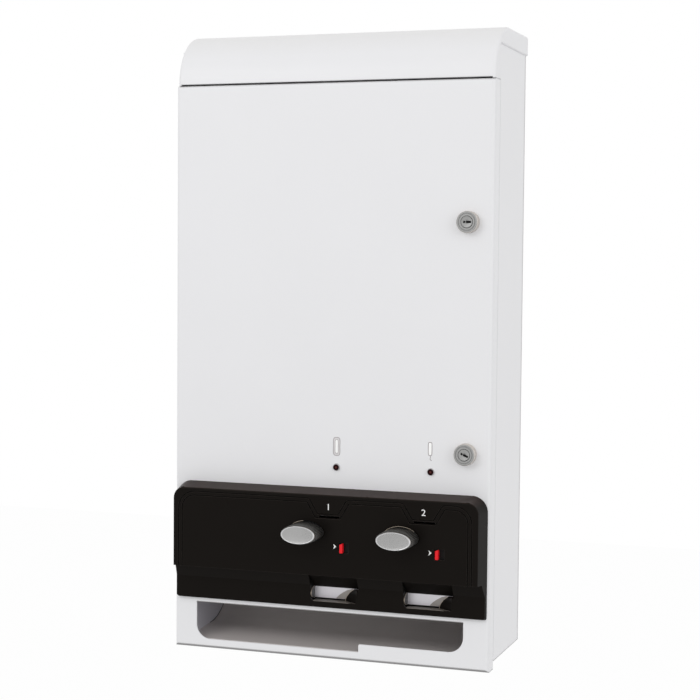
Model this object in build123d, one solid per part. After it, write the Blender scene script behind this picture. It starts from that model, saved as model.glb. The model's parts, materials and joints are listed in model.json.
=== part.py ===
from build123d import *
from math import atan2, cos, radians, sin, sqrt
import os

os.makedirs("parts", exist_ok=True)

# A wall cabinet that hands out pads on the left and tampons on the right.
# Sizes are in millimetres. While a piece is modelled, x runs to the right, y runs
# from the door's face into the wall and z runs up from the door's lower edge.
# save() then moves it to the part's frame, whose origin is in the wall plane, in
# the middle of the four wall holes.

# Fits that every piece shares
fit = 0.05
gap = 0.3
overrun = 6.0

# Cabinet and hood
width = 357.0
depth = 132.0
height = 673.6
cabinet_sheet = 1.2
cabinet_low = 8.2
side_front = 20.0
return_flange = 12.0
header_drop = 14.0
seam_gap = 1.6
hood_sheet = 1.2
hood_radius = 57.4
hood_bend = 3.5
hood_flare = 2.0
hood_left_inset = 1.5
hood_lip_height = 20.6
wall_hole_radius = 3.5
wall_hole_inset = 18.5
wall_hole_low = 82.0
wall_hole_top = 83.6

# Door pan and its hinge
door_sheet = 1.5
door_rear_gap = 0.6
door_bend = 3.5
hinge_radius = 2.6
hinge_pin_radius = 1.25
hinge_leaf = 1.0
hinge_leaf_reach = 14.0
hinge_low = 14.0
hinge_top_room = 13.4
hinge_knuckles = 9
knuckle_gap = 0.4

# Opening of the tray in the door
mouth_left_inset = 25.8
mouth_right_inset = 27.6
mouth_low = 10.3
mouth_head = 4.5
mouth_step_shift = 1.0
mouth_step = 8.5
mouth_step_radius = 1.5
mouth_corner = 16.0

# Bezel
bezel_side_inset = 2.5
bezel_low = 55.5
bezel_crown = 13.5
bezel_proud = 22.0
bezel_draft = 12.5
bezel_corner = 17.0
bezel_foot_corner = 2.5
bezel_edge = 1.6
bezel_wall = 2.5
plate_sill = 0.2
step_proud = 12.0
lower_proud = 4.5
slope_drop = 14.0
groove_width = 1.3
groove_depth = 1.1
groove_pitch = 4.2
panel_inset = 16.0
panel_rise = 14.5
panel_corner = 14.0
notch_drop = 2.0
notch_left_margin = 4.5
notch_right_margin = 1.0
notch_slant = 9.8
boss_radius = 3.8
boss_inset = 16.0
boss_shifts = (-65.3, 42.2)
boss_margin = 8.0
screw_radius = 1.7
screw_head_radius = 3.3
screw_head = 2.0

# Where the two dispensers stand: the middle of each one's window, slot and cup
module_inset = 64.5
module_pitch = 104.7
knob_shift = -25.3
knob_rise = 46.4
button_shift = 14.1
button_drop = 15.6

# Coin slot
slot_length = 23.0
slot_height = 2.6
slot_rise = 16.6

# Knob, its face, shaft and bush
knob_length = 39.2
knob_breadth = 19.9
knob_taper_share = 0.975
knob_stand = 26.4
face_sheet = 1.6
face_rim = 1.7
face_dish = 0.5
face_inset = 0.3
knob_seat = 8.0
shaft_radius = 4.0
shaft_end = 0.7
bush_radius = 6.0
bush_flange_radius = 8.0
bush_flange = 1.2
bush_depth = 4.0

# Mechanism frame behind the door
frame_left = 26.0
frame_right = 56.0
frame_foot = 1.5
frame_head = 13.0
frame_sheet = 1.5
post_radius = 3.0
post_inset = 5.0
mech_screw_radius = 1.5
mech_screw_head_radius = 2.8
mech_screw_head = 1.8
mech_screw_inset = 12.0
wheel_radius = 20.0
wheel_sheet = 3.0
wheel_front = 11.0
coin_radius = 12.3
coin_pocket_angle = 45.0
coil_radius = 6.2
coil_wire = 0.7
coil_pitch = 2.4
coil_turns = 6
coil_room = 2.9

# Eccentric cam and the rocker that lets one pack drop
cam_radius = 9.5
cam_throw = 1.6
cam_angle = 150.0
cam_gap = 2.3
cam_sheet = 4.5
rocker_stand = 13.0
rocker_rise = 9.6
rocker_rod = 2.5
rocker_sheet = 1.5
rocker_tail_half = 6.0
rocker_tail_reach = 10.4
rocker_tail = 2.0
rocker_arm_inner = 13.0
rocker_arm_outer = 21.0
rocker_lower = 24.0
rocker_finger = 16.5
rocker_upper = 18.0
rocker_tip = 4.0

# Red return button and the reject slide behind it
button_width = 5.4
button_high = 10.4
button_proud = 2.6
button_travel = 4.5
button_clearance = 0.4
slide_left = 9.0
slide_right = 13.0
slide_high = 22.0
slide_sheet = 1.5
slide_arm = 4.0
slide_arm_high = 6.0
slide_arm_drop = 6.0
slide_arm_rear = 9.0
rail_wall = 1.8
rail_lip = 1.6
tab_reach = 7.0
tab_high = 8.0
tab_sheet = 2.0
spring_radius = 1.9
spring_wire = 0.35
spring_pitch = 1.3
spring_turns = 6
anchor_sheet = 2.0

# Coin return cup, its flap, and the moulded roof and cheek in front of it
cup_half = 27.1
cup_sill = 7.1
cup_rise = 31.2
cup_corner = 5.0
cup_sheet = 1.4
cup_front = 1.9
cup_runway_gap = 2.0
cup_ear = 6.0
flap_y = 9.0
flap_sheet = 1.2
flap_drop = 16.0
flap_floor_gap = 1.8
flap_rod = 1.5
roof_sheet = 2.2
roof_front = 12.0
cheek_front_inset = 1.7
cheek_low_inset = 18.2
cheek_high_inset = 8.4
cheek_steps = 3
cheek_drop = 1.5

# Sold-out window, flag and its spring
window_rise = 22.5
lens_radius = 3.25
lens_proud = 2.2
lens_flange_radius = 5.0
lens_flange = 1.0
flag_advance = 0.5
flag_disc_radius = 4.5
flag_disc_front = 4.0
flag_sheet = 3.0
flag_rod = 1.5
flag_rod_half = 8.0
flag_finger_y = 13.0
flag_finger_z = 11.5
flag_ear_inner = 5.0
flag_ear = 1.5
flag_ear_half = 5.5
flag_coil_radius = 2.3
flag_coil_wire = 0.3
flag_coil_pitch = 1.2
flag_coil_turns = 2

# Magazines and their followers, each column reaching left and right of its window
column_reaches = {"pad": (76.3, 25.7), "tampon": (77.5, 39.0)}
magazine_sheet = 1.0
magazine_drop = 22.4
magazine_top_room = 113.6
magazine_stand = 6.0
magazine_cheek_stand = 3.0
magazine_cheek_rise = 22.0
magazine_lip = 18.0
ledge_rise = 8.0
ledge_depth = 32.0
strap_below = 9.5
strap_above = 6.5
strap_notch = 2.3
follower_sheet = 10.0
follower_clearance = 0.8
follower_rear_clearance = 4.2
follower_grip_radius = 7.0
follower_grip = 16.0
follower_chamfer = 1.5
magazine_screw_radius = 2.0
magazine_screw_head_radius = 4.0
magazine_screw_head = 2.2
magazine_screw_inset = 14.0
magazine_screw_low = 32.0
magazine_screw_top = 20.0

# Tray and the baffle above it
tray_inset = 14.0
tray_sheet = 1.2
tray_front = 2.4
tray_front_z = 10.4
tray_rear_gap = 10.8
tray_low_z = 14.2
tray_radius = 60.0
tray_rise = 14.5
tray_end_drop = 15.0
baffle_advance = 4.5
baffle_sheet = 1.0
baffle_gap = 2.0

# Coin runway, coin box and its shelf
runway_width = 7.0
runway_sheet = 1.0
runway_drop = 2.6
runway_fall = 6.0
runway_wall = 27.0
runway_right = 12.0
hanger_width = 10.0
hanger_rise = 8.0
box_left_inset = 15.5
box_right_gap = 15.0
box_front = 4.5
box_rear_gap = 0.5
box_rise = 2.5
box_tall = 60.0
box_sheet = 1.2
box_tab_half = 13.0
box_tab_high = 8.0
shelf_sheet = 1.2
shelf_upright = 34.0
shelf_rear_lip = 6.0
shelf_side = 2.0

# Cam locks
lock_inset = 26.6
lock_rise = 20.4
lock_drop = 205.3
lock_collar_radius = 11.4
lock_collar = 8.6
lock_ring_radius = 9.4
lock_ring = 0.8
lock_barrel_radius = 9.5
lock_barrel_rear = 20.0
lock_nut_across = 25.0
lock_nut = 4.0
plug_radius = 6.0
plug_proud = 0.5
plug_rear = 21.8
keyway_width = 1.3
keyway_length = 7.5
keyway_depth = 9.0
keyway_turn = {"lower": 20.0, "upper": 90.0}
lock_cam = 2.4
lock_cam_reach = 22.7
lock_cam_half = 7.0

# Cabinet and door
half_width = width / 2
inner_half = half_width - cabinet_sheet
cabinet_back = depth - cabinet_sheet
cabinet_floor = cabinet_low + cabinet_sheet
header_rear = side_front + cabinet_sheet
wall_hole_middle = (wall_hole_low + height - wall_hole_top) / 2
seam_height = height - hood_radius
door_high = seam_height - seam_gap / 2
hood_low = seam_height + seam_gap / 2
header_low = hood_low + gap
hood_inset = hood_sheet + gap
hood_lip_low = height - hood_lip_height
shoulder = hood_lip_low - gap
neck_half = half_width - hood_left_inset - hood_bend
door_flange = side_front - door_rear_gap
hinge_x = -half_width - hinge_radius
hinge_y = (door_flange + side_front) / 2
hinge_length = door_high - hinge_low - hinge_top_room

# Levels, from the bezel's foot upwards
cup_low = bezel_low + cup_sill
cup_high = cup_low + cup_rise
flap_axis = cup_high - flap_drop
flap_low = cup_low + flap_floor_gap
cheek_top = flap_axis - cheek_drop
plate_low = cup_high + plate_sill
slope_low = plate_low - slope_drop
knob_height = plate_low + knob_rise
button_height = knob_height - button_drop
slot_level = knob_height + slot_rise
notch_floor = slot_level - notch_drop
panel_high = slot_level + panel_rise
bezel_high = panel_high + bezel_crown
boss_z = (plate_low + boss_margin, bezel_high - boss_margin)
window_height = bezel_high + window_rise
lock_heights = {"lower": window_height + lock_rise, "upper": height - lock_drop}
frame_low = plate_low + frame_foot
frame_high = slot_level + frame_head
rocker_z = knob_height + rocker_rise
magazine_low = knob_height - magazine_drop
magazine_high = height - magazine_top_room
magazine_cheek_high = rocker_z + magazine_cheek_rise
ledge_height = magazine_low + ledge_rise
strap_low = window_height - strap_below
strap_high = window_height + strap_above
magazine_screw_z = (magazine_low + magazine_screw_low, magazine_high - magazine_screw_top)
mouth_high = bezel_low - mouth_head
tray_high = bezel_low + tray_rise
tray_end_high = tray_high - tray_end_drop
baffle_low = tray_end_high + baffle_gap
baffle_high = magazine_low - baffle_gap
box_low = bezel_low + box_rise
box_high = box_low + box_tall
runway_low_left = cup_low - runway_drop
runway_low_right = runway_low_left + runway_fall

# Depths, from the bezel's plate inwards
knob_front = bezel_proud + knob_stand
coil_start = wheel_front + wheel_sheet + coil_room + coil_wire
coil_end = coil_start + coil_pitch * coil_turns + coil_wire
frame_rear = coil_end + gap + frame_sheet
cam_front = frame_rear + cam_gap
shaft_rear = cam_front + cam_sheet + shaft_end
runway_front = frame_rear - frame_sheet - runway_width - 2 * runway_sheet
cup_rear = runway_front - cup_runway_gap
box_rear = frame_rear - box_rear_gap
rocker_y = frame_rear + rocker_stand
flag_y = rocker_y - flag_advance
baffle_y = rocker_y - baffle_advance
magazine_front = flag_y + magazine_stand
magazine_cheek_front = flag_y - magazine_cheek_stand
column_rear = cabinet_back - magazine_sheet
flap_front = flap_y - flap_sheet / 2
flap_clear = flap_y - flap_rod - gap
tray_low_y = cabinet_back - tray_rear_gap - tray_radius

# Places across the width
module_x = {
    "pad": half_width - module_inset - module_pitch,
    "tampon": half_width - module_inset,
}
columns = {
    name: (module_x[name] - reach[0], module_x[name] + reach[1])
    for name, reach in column_reaches.items()
}
mouth_left = half_width - mouth_left_inset
mouth_right = half_width - mouth_right_inset
mouth_step_x = columns["tampon"][0] - mouth_step_shift
bezel_half = half_width - bezel_side_inset
panel_half = bezel_half - panel_inset
boss_reach = bezel_half - boss_inset
boss_x = (-boss_reach, *[module_x["pad"] + shift for shift in boss_shifts], boss_reach)
notch_left = slot_length / 2 + notch_left_margin
notch_right = slot_length / 2 + notch_right_margin
cheek_front_x = cup_half - cheek_front_inset
cheek_low_x = cup_half - cheek_low_inset
cheek_high_x = cup_half - cheek_high_inset
tray_half = half_width - tray_inset
box_left = box_left_inset - half_width
box_right = module_x["pad"] + knob_shift - frame_left - box_right_gap
lock_x = half_width - lock_inset


def save(name, shape):
    """Write one node, moved so that the origin is the middle of the wall holes."""
    placed = Pos(0, -depth, -wall_hole_middle) * shape
    export_step(placed, f"parts/{name}.step")


def block(x0, x1, y0, y1, z0, z1):
    """Box between two opposite corners."""
    middle = Pos((x0 + x1) / 2, (y0 + y1) / 2, (z0 + z1) / 2)
    return middle * Box(x1 - x0, y1 - y0, z1 - z0)


def rod_x(radius, y, z, x0, x1):
    """Round bar along x."""
    return Pos((x0 + x1) / 2, y, z) * Rot(0, 90, 0) * Cylinder(radius, x1 - x0)


def rod_y(radius, x, z, y0, y1):
    """Round bar along y."""
    return Pos(x, (y0 + y1) / 2, z) * Rot(90, 0, 0) * Cylinder(radius, y1 - y0)


def rod_z(radius, x, y, z0, z1):
    """Round bar along z."""
    return Pos(x, y, (z0 + z1) / 2) * Cylinder(radius, z1 - z0)


def across(face, x0, x1):
    """Extrude a (y, z) outline along x."""
    return extrude(Plane.YZ.offset(x0) * face, x1 - x0, dir=(1, 0, 0))


def inward(face, y0, y1):
    """Extrude an (x, z) outline along y."""
    return extrude(Plane.XZ.offset(-y0) * face, y1 - y0, dir=(0, 1, 0))


def outline(points):
    """Flat face inside straight lines."""
    return make_face(Polyline(*points, close=True))


def rounded(points, radii):
    """Flat face whose corners are rounded, each by its own radius."""
    corners = [Vector(*point) for point in points]
    ends = []
    edges = []
    for index, corner in enumerate(corners):
        back = (corners[index - 1] - corner).normalized()
        ahead = (corners[(index + 1) % len(corners)] - corner).normalized()
        radius = radii[index]
        if radius == 0:
            ends.append((corner, corner))
            continue
        half_angle = radians(back.get_angle(ahead)) / 2
        reach = radius * cos(half_angle) / sin(half_angle)
        middle = corner + (back + ahead).normalized() * (radius / sin(half_angle) - radius)
        ends.append((corner + back * reach, corner + ahead * reach))
        edges.append(ThreePointArc(ends[-1][0], middle, ends[-1][1]))
    for index, end in enumerate(ends):
        edges.append(Line(end[1], ends[(index + 1) % len(ends)][0]))
    return make_face(edges)


def coil(radius, wire, pitch, turns):
    """Open helical spring along z, standing on the xy plane."""
    path = Helix(pitch=pitch, height=pitch * turns, radius=radius)
    start = Plane(origin=path @ 0, z_dir=path % 0)
    return sweep(start * Circle(wire), path=path, is_frenet=True)


def hood_outline(inset, low):
    """Side view under the hood's skin: a quarter round in front of a flat top."""
    radius = hood_radius - inset
    angle = atan2(low - seam_height, sqrt(radius**2 - (low - seam_height) ** 2))
    middle = (angle + radians(90)) / 2
    start = (hood_radius - radius * cos(angle), low)
    bend = (hood_radius - radius * cos(middle), seam_height + radius * sin(middle))
    crest = (hood_radius, seam_height + radius)
    arc = ThreePointArc(start, bend, crest)
    rest = Polyline(crest, (depth, seam_height + radius), (depth, low), start)
    return make_face(arc + rest)


# Cabinet


def wall_holes():
    """Four round holes through the back panel."""
    holes = []
    for side in (-1, 1):
        for level in (-1, 1):
            x = side * (half_width - wall_hole_inset)
            z = wall_hole_middle + level * (wall_hole_middle - wall_hole_low)
            holes.append(rod_y(wall_hole_radius, x, z, cabinet_back - overrun, depth + overrun))
    return holes


def magazine_screw_places():
    """Two screws up each side of each magazine's back."""
    places = []
    for left, right in columns.values():
        for x in (left + magazine_screw_inset, right - magazine_screw_inset):
            for z in magazine_screw_z:
                places.append((x, z))
    return places


def cabinet_shell():
    """Sheet folded into the two sides and the floor."""
    wrap = block(-half_width, half_width, side_front, cabinet_back, cabinet_low, shoulder)
    return wrap - block(
        -inner_half, inner_half, side_front - overrun, depth, cabinet_floor, shoulder + overrun
    )


def back_panel():
    """Flat back, narrower under the hood, with the holes for the wall and the magazines."""
    panel = block(-half_width, half_width, cabinet_back, depth, cabinet_low, shoulder)
    panel += block(-neck_half, neck_half, cabinet_back, depth, shoulder, height - hood_inset)
    panel -= wall_holes()
    for x, z in magazine_screw_places():
        panel -= rod_y(magazine_screw_radius + fit, x, z, cabinet_back - overrun, depth + overrun)
    return panel


def front_strips():
    """Two strips welded inside the front edges: the lock cams turn in behind the right one."""
    strips = []
    for side in (-1, 1):
        edge = sorted((side * inner_half, side * (inner_half - return_flange)))
        strips.append(block(*edge, side_front, header_rear, cabinet_floor, header_low - header_drop))
    return strips


def hood_frame():
    """Folded frame that carries the hood: two cheeks, a top, shoulders and the header."""
    neck_inner = neck_half - cabinet_sheet
    top = height - hood_inset
    below = shoulder - cabinet_sheet
    form = across(hood_outline(hood_inset, header_low), -neck_half, neck_half)
    form += block(-inner_half, inner_half, side_front, depth, below, shoulder)
    form -= block(-half_width, half_width, cabinet_back, depth + overrun, header_low - overrun, height)
    form -= block(-half_width, half_width, side_front - overrun, depth, header_low - overrun, below)
    form -= block(-neck_inner, neck_inner, -overrun, depth, header_low - overrun, top - cabinet_sheet)
    header = [
        (hood_inset, header_low),
        (side_front, header_low),
        (header_rear, header_low),
        (header_rear, header_low + cabinet_sheet),
        (hood_inset, header_low + cabinet_sheet),
    ]
    form += across(outline(header), -neck_half, neck_half)
    return form + block(
        -inner_half, inner_half, side_front, header_rear, header_low - header_drop, header_low
    )


def hood_form(inset, low):
    """The hood's outer form, shrunk by a sheet: its sides flare and both ends are rounded."""
    left = -half_width - hood_flare + inset
    right = half_width + hood_flare - inset
    plan = outline([
        (left + hood_flare + hood_left_inset, 0),
        (right - hood_flare, 0),
        (right, depth),
        (left, depth),
    ])
    form = across(hood_outline(inset, low), left, right)
    form &= extrude(Pos(0, 0, low - overrun) * plan, height - low + 2 * overrun)
    ends = form.faces().sort_by(Axis.X)
    edges = ends[0].edges().sort_by(Axis.Z)[-2:] + ends[-1].edges().sort_by(Axis.Z)[-2:]
    return fillet(edges, hood_bend - inset)


def hood():
    """Cap with a quarter-round front, a flat top, and a lip that stands proud behind."""
    side_low = door_high + gap
    cap = hood_form(0, side_low) - hood_form(hood_sheet, side_low - gap)
    seam_end = half_width - hood_left_inset - hood_bend
    cap -= block(-seam_end, half_width - hood_bend, -overrun, side_front, door_high, hood_low)
    reach = half_width + hood_flare + overrun
    return cap - block(-reach, reach, side_front - gap, depth + overrun, 0, hood_lip_low)


# Door


def mouth_outline():
    """Tray opening: its floor steps up on the tampon side."""
    points = [
        (-mouth_left, mouth_high),
        (-mouth_left, mouth_low),
        (mouth_step_x, mouth_low),
        (mouth_step_x, mouth_low + mouth_step),
        (mouth_right, mouth_low + mouth_step),
        (mouth_right, mouth_high),
    ]
    corners = [0, mouth_corner, mouth_step_radius / 2, mouth_step_radius, mouth_corner, 0]
    return rounded(points, corners)


def arm_window(x):
    """Hole that the reject slide's arm passes through, in the door and in the frame."""
    left = x + button_shift - slide_left - button_clearance
    right = left + slide_arm + button_travel + 2 * button_clearance
    top = button_height - slide_arm_drop + slide_arm_high / 2 + button_clearance
    low = top - slide_arm_high - 2 * button_clearance
    return block(left, right, -overrun, door_sheet + frame_sheet + overrun, low, top)


def door_pan():
    """Folded pan with every hole that the fittings pass through."""
    pan = block(-half_width, half_width, 0, door_flange, 0, door_high)
    pan = fillet(pan.faces().sort_by(Axis.Y)[0].edges(), door_bend)
    inner = half_width - door_sheet
    hollow = block(
        -inner, inner, door_sheet, door_flange + overrun, door_sheet, door_high - door_sheet
    )
    pan -= fillet(hollow.faces().sort_by(Axis.Y)[0].edges(), door_bend - door_sheet)
    pan -= inward(mouth_outline(), -overrun, door_sheet + overrun)
    rear = door_sheet + overrun
    for height_up in lock_heights.values():
        pan -= rod_y(lock_barrel_radius + fit, lock_x, height_up, -overrun, rear)
    for x in module_x.values():
        knob_x = x + knob_shift
        half_slot = slot_length / 2
        hole = cup_half + cup_sheet + gap
        pan -= rod_y(lens_radius + fit, x, window_height, -overrun, rear)
        pan -= rod_y(shaft_radius + bush_flange, knob_x, knob_height, -overrun, rear)
        pan -= block(
            x - half_slot, x + half_slot, -overrun, rear,
            slot_level - slot_height, slot_level + slot_height,
        )
        pan -= arm_window(x)
        pan -= block(
            x - hole, x + hole, -overrun, rear,
            cup_low - cup_sheet - gap, cup_high + roof_sheet + gap,
        )
        for place in mech_screw_places(x):
            pan -= rod_y(mech_screw_radius + fit, *place, -overrun, rear)
    for place in boss_places():
        pan -= rod_y(screw_radius + fit, *place, -overrun, rear)
    return pan


def hinge_knuckle_spans(first):
    """Every second knuckle along the hinge, from the given one up."""
    length = hinge_length / hinge_knuckles
    spans = []
    for index in range(first, hinge_knuckles, 2):
        low = hinge_low + index * length
        spans.append((low + knuckle_gap / 2, low + length - knuckle_gap / 2))
    return spans


def hinge_leaf_piece(direction, first):
    """One leaf of the piano hinge, which reaches along y in the given direction."""
    clear = hinge_y + direction * (hinge_radius + gap)
    far = hinge_y + direction * hinge_leaf_reach
    outer = -half_width - hinge_leaf
    top = hinge_low + hinge_length
    leaf = block(outer, -half_width, *sorted((clear, far)), hinge_low, top)
    for low, high in hinge_knuckle_spans(first):
        leaf += block(outer, -half_width, *sorted((hinge_y, far)), low, high)
        leaf += rod_z(hinge_radius, hinge_x, hinge_y, low, high)
    return leaf - rod_z(hinge_pin_radius + fit, hinge_x, hinge_y, 0, height)


# Bezel


def boss_places():
    """Screw bosses of the bezel: two rows of the same stations."""
    return [(x, z) for x in boss_x for z in boss_z]


def bezel_block(inset):
    """Drafted block of the bezel with its lower part set back, shrunk by a wall."""
    half = bezel_half - inset
    points = [
        (-half, bezel_low + inset),
        (half, bezel_low + inset),
        (half, bezel_high - inset),
        (-half, bezel_high - inset),
    ]
    foot = bezel_foot_corner - inset / 2
    crown = bezel_corner - inset
    face = rounded(points, [foot, foot, crown, crown])
    body = extrude(Plane.XZ * face, bezel_proud - inset, taper=bezel_draft)
    if inset == 0:
        body = fillet(body.faces().sort_by(Axis.Y)[0].edges(), bezel_edge)
    below = [
        (-bezel_proud - overrun, plate_low + inset),
        (-step_proud + inset, plate_low + inset),
        (-lower_proud + inset, slope_low + inset / 2),
        (-lower_proud + inset, bezel_low - overrun),
        (-bezel_proud - overrun, bezel_low - overrun),
    ]
    return body - across(outline(below), -half - overrun, half + overrun)


def panel_outline():
    """Edge of the front panel, which dips round each coin slot."""
    points = [(-panel_half, plate_low - overrun), (-panel_half, panel_high)]
    corners = [0, panel_corner]
    for x in module_x.values():
        points += [
            (x - notch_left - notch_slant, panel_high),
            (x - notch_left, notch_floor),
            (x + notch_right, notch_floor),
            (x + notch_right + notch_slant, panel_high),
        ]
        corners += [groove_width] * len(points[-4:])
    points += [(panel_half, panel_high), (panel_half, plate_low - overrun)]
    corners += [panel_corner, 0]
    return rounded(points, corners)


def bezel_grooves():
    """Two fine grooves side by side along the panel's edge."""
    panel = panel_outline()
    front = -bezel_proud - overrun
    floor = -bezel_proud + groove_depth
    cuts = []
    for start in (0, groove_pitch):
        near = panel if start == 0 else offset(panel, start)
        ring = offset(panel, start + groove_width) - near
        cuts.append(inward(ring, front, floor))
    return cuts


def bezel_cup(x):
    """Roof and right cheek that funnel a coin into the return cup."""
    inner = cup_half - gap
    root = cup_half + gap * 4
    front = -lower_proud + gap
    liner = -cup_front - gap
    roof = outline([
        (-roof_front, cup_high),
        (-roof_front + roof_sheet, cup_high + roof_sheet),
        (flap_clear, flap_axis + roof_sheet / 2),
        (flap_clear, flap_axis - roof_sheet / 2),
    ])
    ends = []
    for step in range(cheek_steps + 1):
        share = step / cheek_steps
        level = cup_low + gap + share * (cheek_top - cup_low - gap)
        reach = cheek_low_x + share**2 * (cheek_high_x - cheek_low_x)
        face = outline([
            (x + root, front),
            (x + root, liner),
            (x + inner, liner),
            (x + inner, flap_clear),
            (x + reach, flap_clear),
            (x + cheek_front_x, front),
        ])
        ends.append(Pos(0, 0, level) * face)
    return across(roof, x - inner, x + inner) + loft(ends, ruled=True)


def bezel():
    """Moulded front cover of the two mechanisms."""
    body = bezel_block(0) - bezel_block(bezel_wall)
    body -= bezel_grooves()
    inner_front = -bezel_proud + bezel_wall / 2
    front = -bezel_proud - overrun
    for place in boss_places():
        body += rod_y(boss_radius, *place, inner_front, 0)
        body -= rod_y(screw_radius + fit, *place, -bezel_proud + bezel_wall, overrun)
    for x in module_x.values():
        knob_x = x + knob_shift
        half_slot = slot_length / 2
        body -= rod_y(bush_radius + fit, knob_x, knob_height, front, 0)
        body -= block(
            x - half_slot, x + half_slot, front, 0,
            slot_level - slot_height / 2, slot_level + slot_height / 2,
        )
        left = x + button_shift - button_width / 2 - button_clearance
        right = left + button_width + button_travel + 2 * button_clearance
        low = button_height - button_high / 2 - button_clearance
        body -= block(left, right, front, 0, low, low + button_high + 2 * button_clearance)
        mouth = rounded(
            [
                (x - cup_half, cup_low),
                (x + cup_half, cup_low),
                (x + cup_half, cup_high),
                (x - cup_half, cup_high),
            ],
            [cup_corner, cup_corner, 0, 0],
        )
        body -= inward(mouth, -step_proud - overrun, -cup_front + overrun)
        body += bezel_cup(x)
        body += slide_rails(x)
    return body


# Return button


def slide_front():
    """Depth of the reject slide's front face, just behind the bezel's plate."""
    return -bezel_proud + bezel_wall + gap


def slide_tab(x):
    """Left side of the tab that the button's spring pulls on."""
    return x + button_shift + slide_right - tab_sheet


def spring_start(x):
    """Left end of the button's spring, which draws on the tab's left side."""
    return slide_tab(x) - gap - spring_wire - spring_pitch * spring_turns


def slide_rails(x):
    """Two hooked rails that hold the reject slide, with the spring's bridge over them."""
    left = x + button_shift - slide_left
    right = x + button_shift + slide_right
    front = -bezel_proud + bezel_wall / 2
    behind = slide_front() + slide_sheet + gap
    rails = []
    for side in (-1, 1):
        near = button_height + side * (slide_high / 2 + gap)
        far = near + side * rail_wall
        lip = near - side * rail_lip
        rails.append(block(left, right, front, behind, *sorted((near, far))))
        rails.append(block(left, right, behind, behind + rail_wall, *sorted((lip, far))))
    anchor = spring_start(x) - spring_wire - gap
    reach = slide_high / 2 + gap + rail_wall
    rails.append(block(
        anchor - anchor_sheet, anchor, behind, slide_front() + slide_sheet + tab_reach,
        button_height - reach, button_height + reach,
    ))
    return rails


def reject_slide(x):
    """Plate behind the slot with an arm that reaches back into the coin path."""
    left = x + button_shift - slide_left
    right = x + button_shift + slide_right
    low = button_height - slide_high / 2
    front = slide_front()
    rear = front + slide_sheet
    slide = block(left, right, front, rear, low, low + slide_high)
    arm_top = button_height - slide_arm_drop + slide_arm_high / 2
    slide += block(left, left + slide_arm, front, slide_arm_rear, arm_top - slide_arm_high, arm_top)
    tab = slide_tab(x)
    half = tab_high / 2
    slide += block(
        tab, tab + tab_sheet, front, rear + tab_reach, button_height - half, button_height + half
    )
    return slide


def return_button(x):
    """Red finger piece that stands out of the slot, with chamfered edges."""
    centre = x + button_shift
    half = button_high / 2
    button = block(
        centre - button_width / 2, centre + button_width / 2,
        -bezel_proud - button_proud, slide_front(),
        button_height - half, button_height + half,
    )
    return chamfer(button.faces().sort_by(Axis.Y)[0].edges(), button_proud / 3)


def button_spring(x):
    """Small coil that draws the slide back to the left."""
    y = slide_front() + slide_sheet + tab_reach / 2 + gap
    return Pos(spring_start(x), y, button_height) * Rot(0, 90, 0) * coil(
        spring_radius, spring_wire, spring_pitch, spring_turns
    )


# Knobs


def knob_section(y, share):
    """Oval section of the knob at one depth."""
    return Plane.XZ.offset(-y) * Ellipse(knob_length / 2 * share, knob_breadth / 2 * share)


def knob(x):
    """Tapered oval grip, bored from behind for its shaft."""
    rear = -bezel_proud - bush_flange - gap
    body = loft([knob_section(rear, 1), knob_section(-knob_front, knob_taper_share)])
    bore = rod_y(shaft_radius + fit, 0, 0, -knob_front + knob_seat, overrun)
    return Pos(x + knob_shift, 0, knob_height) * (body - bore)


def knob_face(x):
    """Oval disc on the knob's front, dished inside a rim."""
    a = knob_length / 2 * knob_taper_share - face_inset
    b = knob_breadth / 2 * knob_taper_share - face_inset
    front = -knob_front - face_sheet
    disc = inward(Ellipse(a, b), front, -knob_front)
    dish = inward(Ellipse(a - face_rim, b - face_rim), front - overrun, front + face_dish)
    return Pos(x + knob_shift, 0, knob_height) * (disc - dish)


def knob_shaft(x):
    """Plain steel shaft from the knob to the cam."""
    return rod_y(shaft_radius, x + knob_shift, knob_height, -knob_front + knob_seat + gap, shaft_rear)


def knob_bush(x):
    """Flanged bush that the shaft turns in, set in the bezel's plate."""
    centre = (x + knob_shift, knob_height)
    front = -bezel_proud - bush_flange
    bush = rod_y(bush_flange_radius, *centre, front, -bezel_proud)
    bush += rod_y(bush_radius, *centre, -bezel_proud, -bezel_proud + bush_depth)
    return bush - rod_y(shaft_radius + fit, *centre, front - overrun, overrun)


# Mechanisms


def mech_screw_places(x):
    """Screws that hold a frame to the door."""
    left = x + knob_shift - frame_left + mech_screw_inset
    right = x + knob_shift + frame_right - mech_screw_inset
    low = frame_low + post_inset
    high = frame_high - post_inset
    return [(left, low), (right, low), (left, high), (right, high)]


def mech_frame(x):
    """Two plates held apart by four posts."""
    centre = x + knob_shift
    left = centre - frame_left
    right = centre + frame_right
    front = door_sheet
    frame = block(left, right, front, front + frame_sheet, frame_low, frame_high)
    frame += block(left, right, frame_rear - frame_sheet, frame_rear, frame_low, frame_high)
    for px in (left + post_inset, right - post_inset):
        for pz in (frame_low + post_inset, frame_high - post_inset):
            frame += rod_y(post_radius, px, pz, front, frame_rear)
    half_slot = slot_length / 2
    clear = shaft_radius + fit + gap
    frame -= rod_y(clear, centre, knob_height, front - overrun, front + overrun)
    frame -= rod_y(shaft_radius + fit, centre, knob_height, frame_rear - overrun, frame_rear + overrun)
    frame -= block(
        x - half_slot, x + half_slot, front - overrun, front + overrun,
        slot_level - slot_height, slot_level + slot_height,
    )
    frame -= arm_window(x)
    for place in mech_screw_places(x):
        frame -= rod_y(mech_screw_radius + fit, *place, front - overrun, front + overrun)
    return frame


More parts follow.
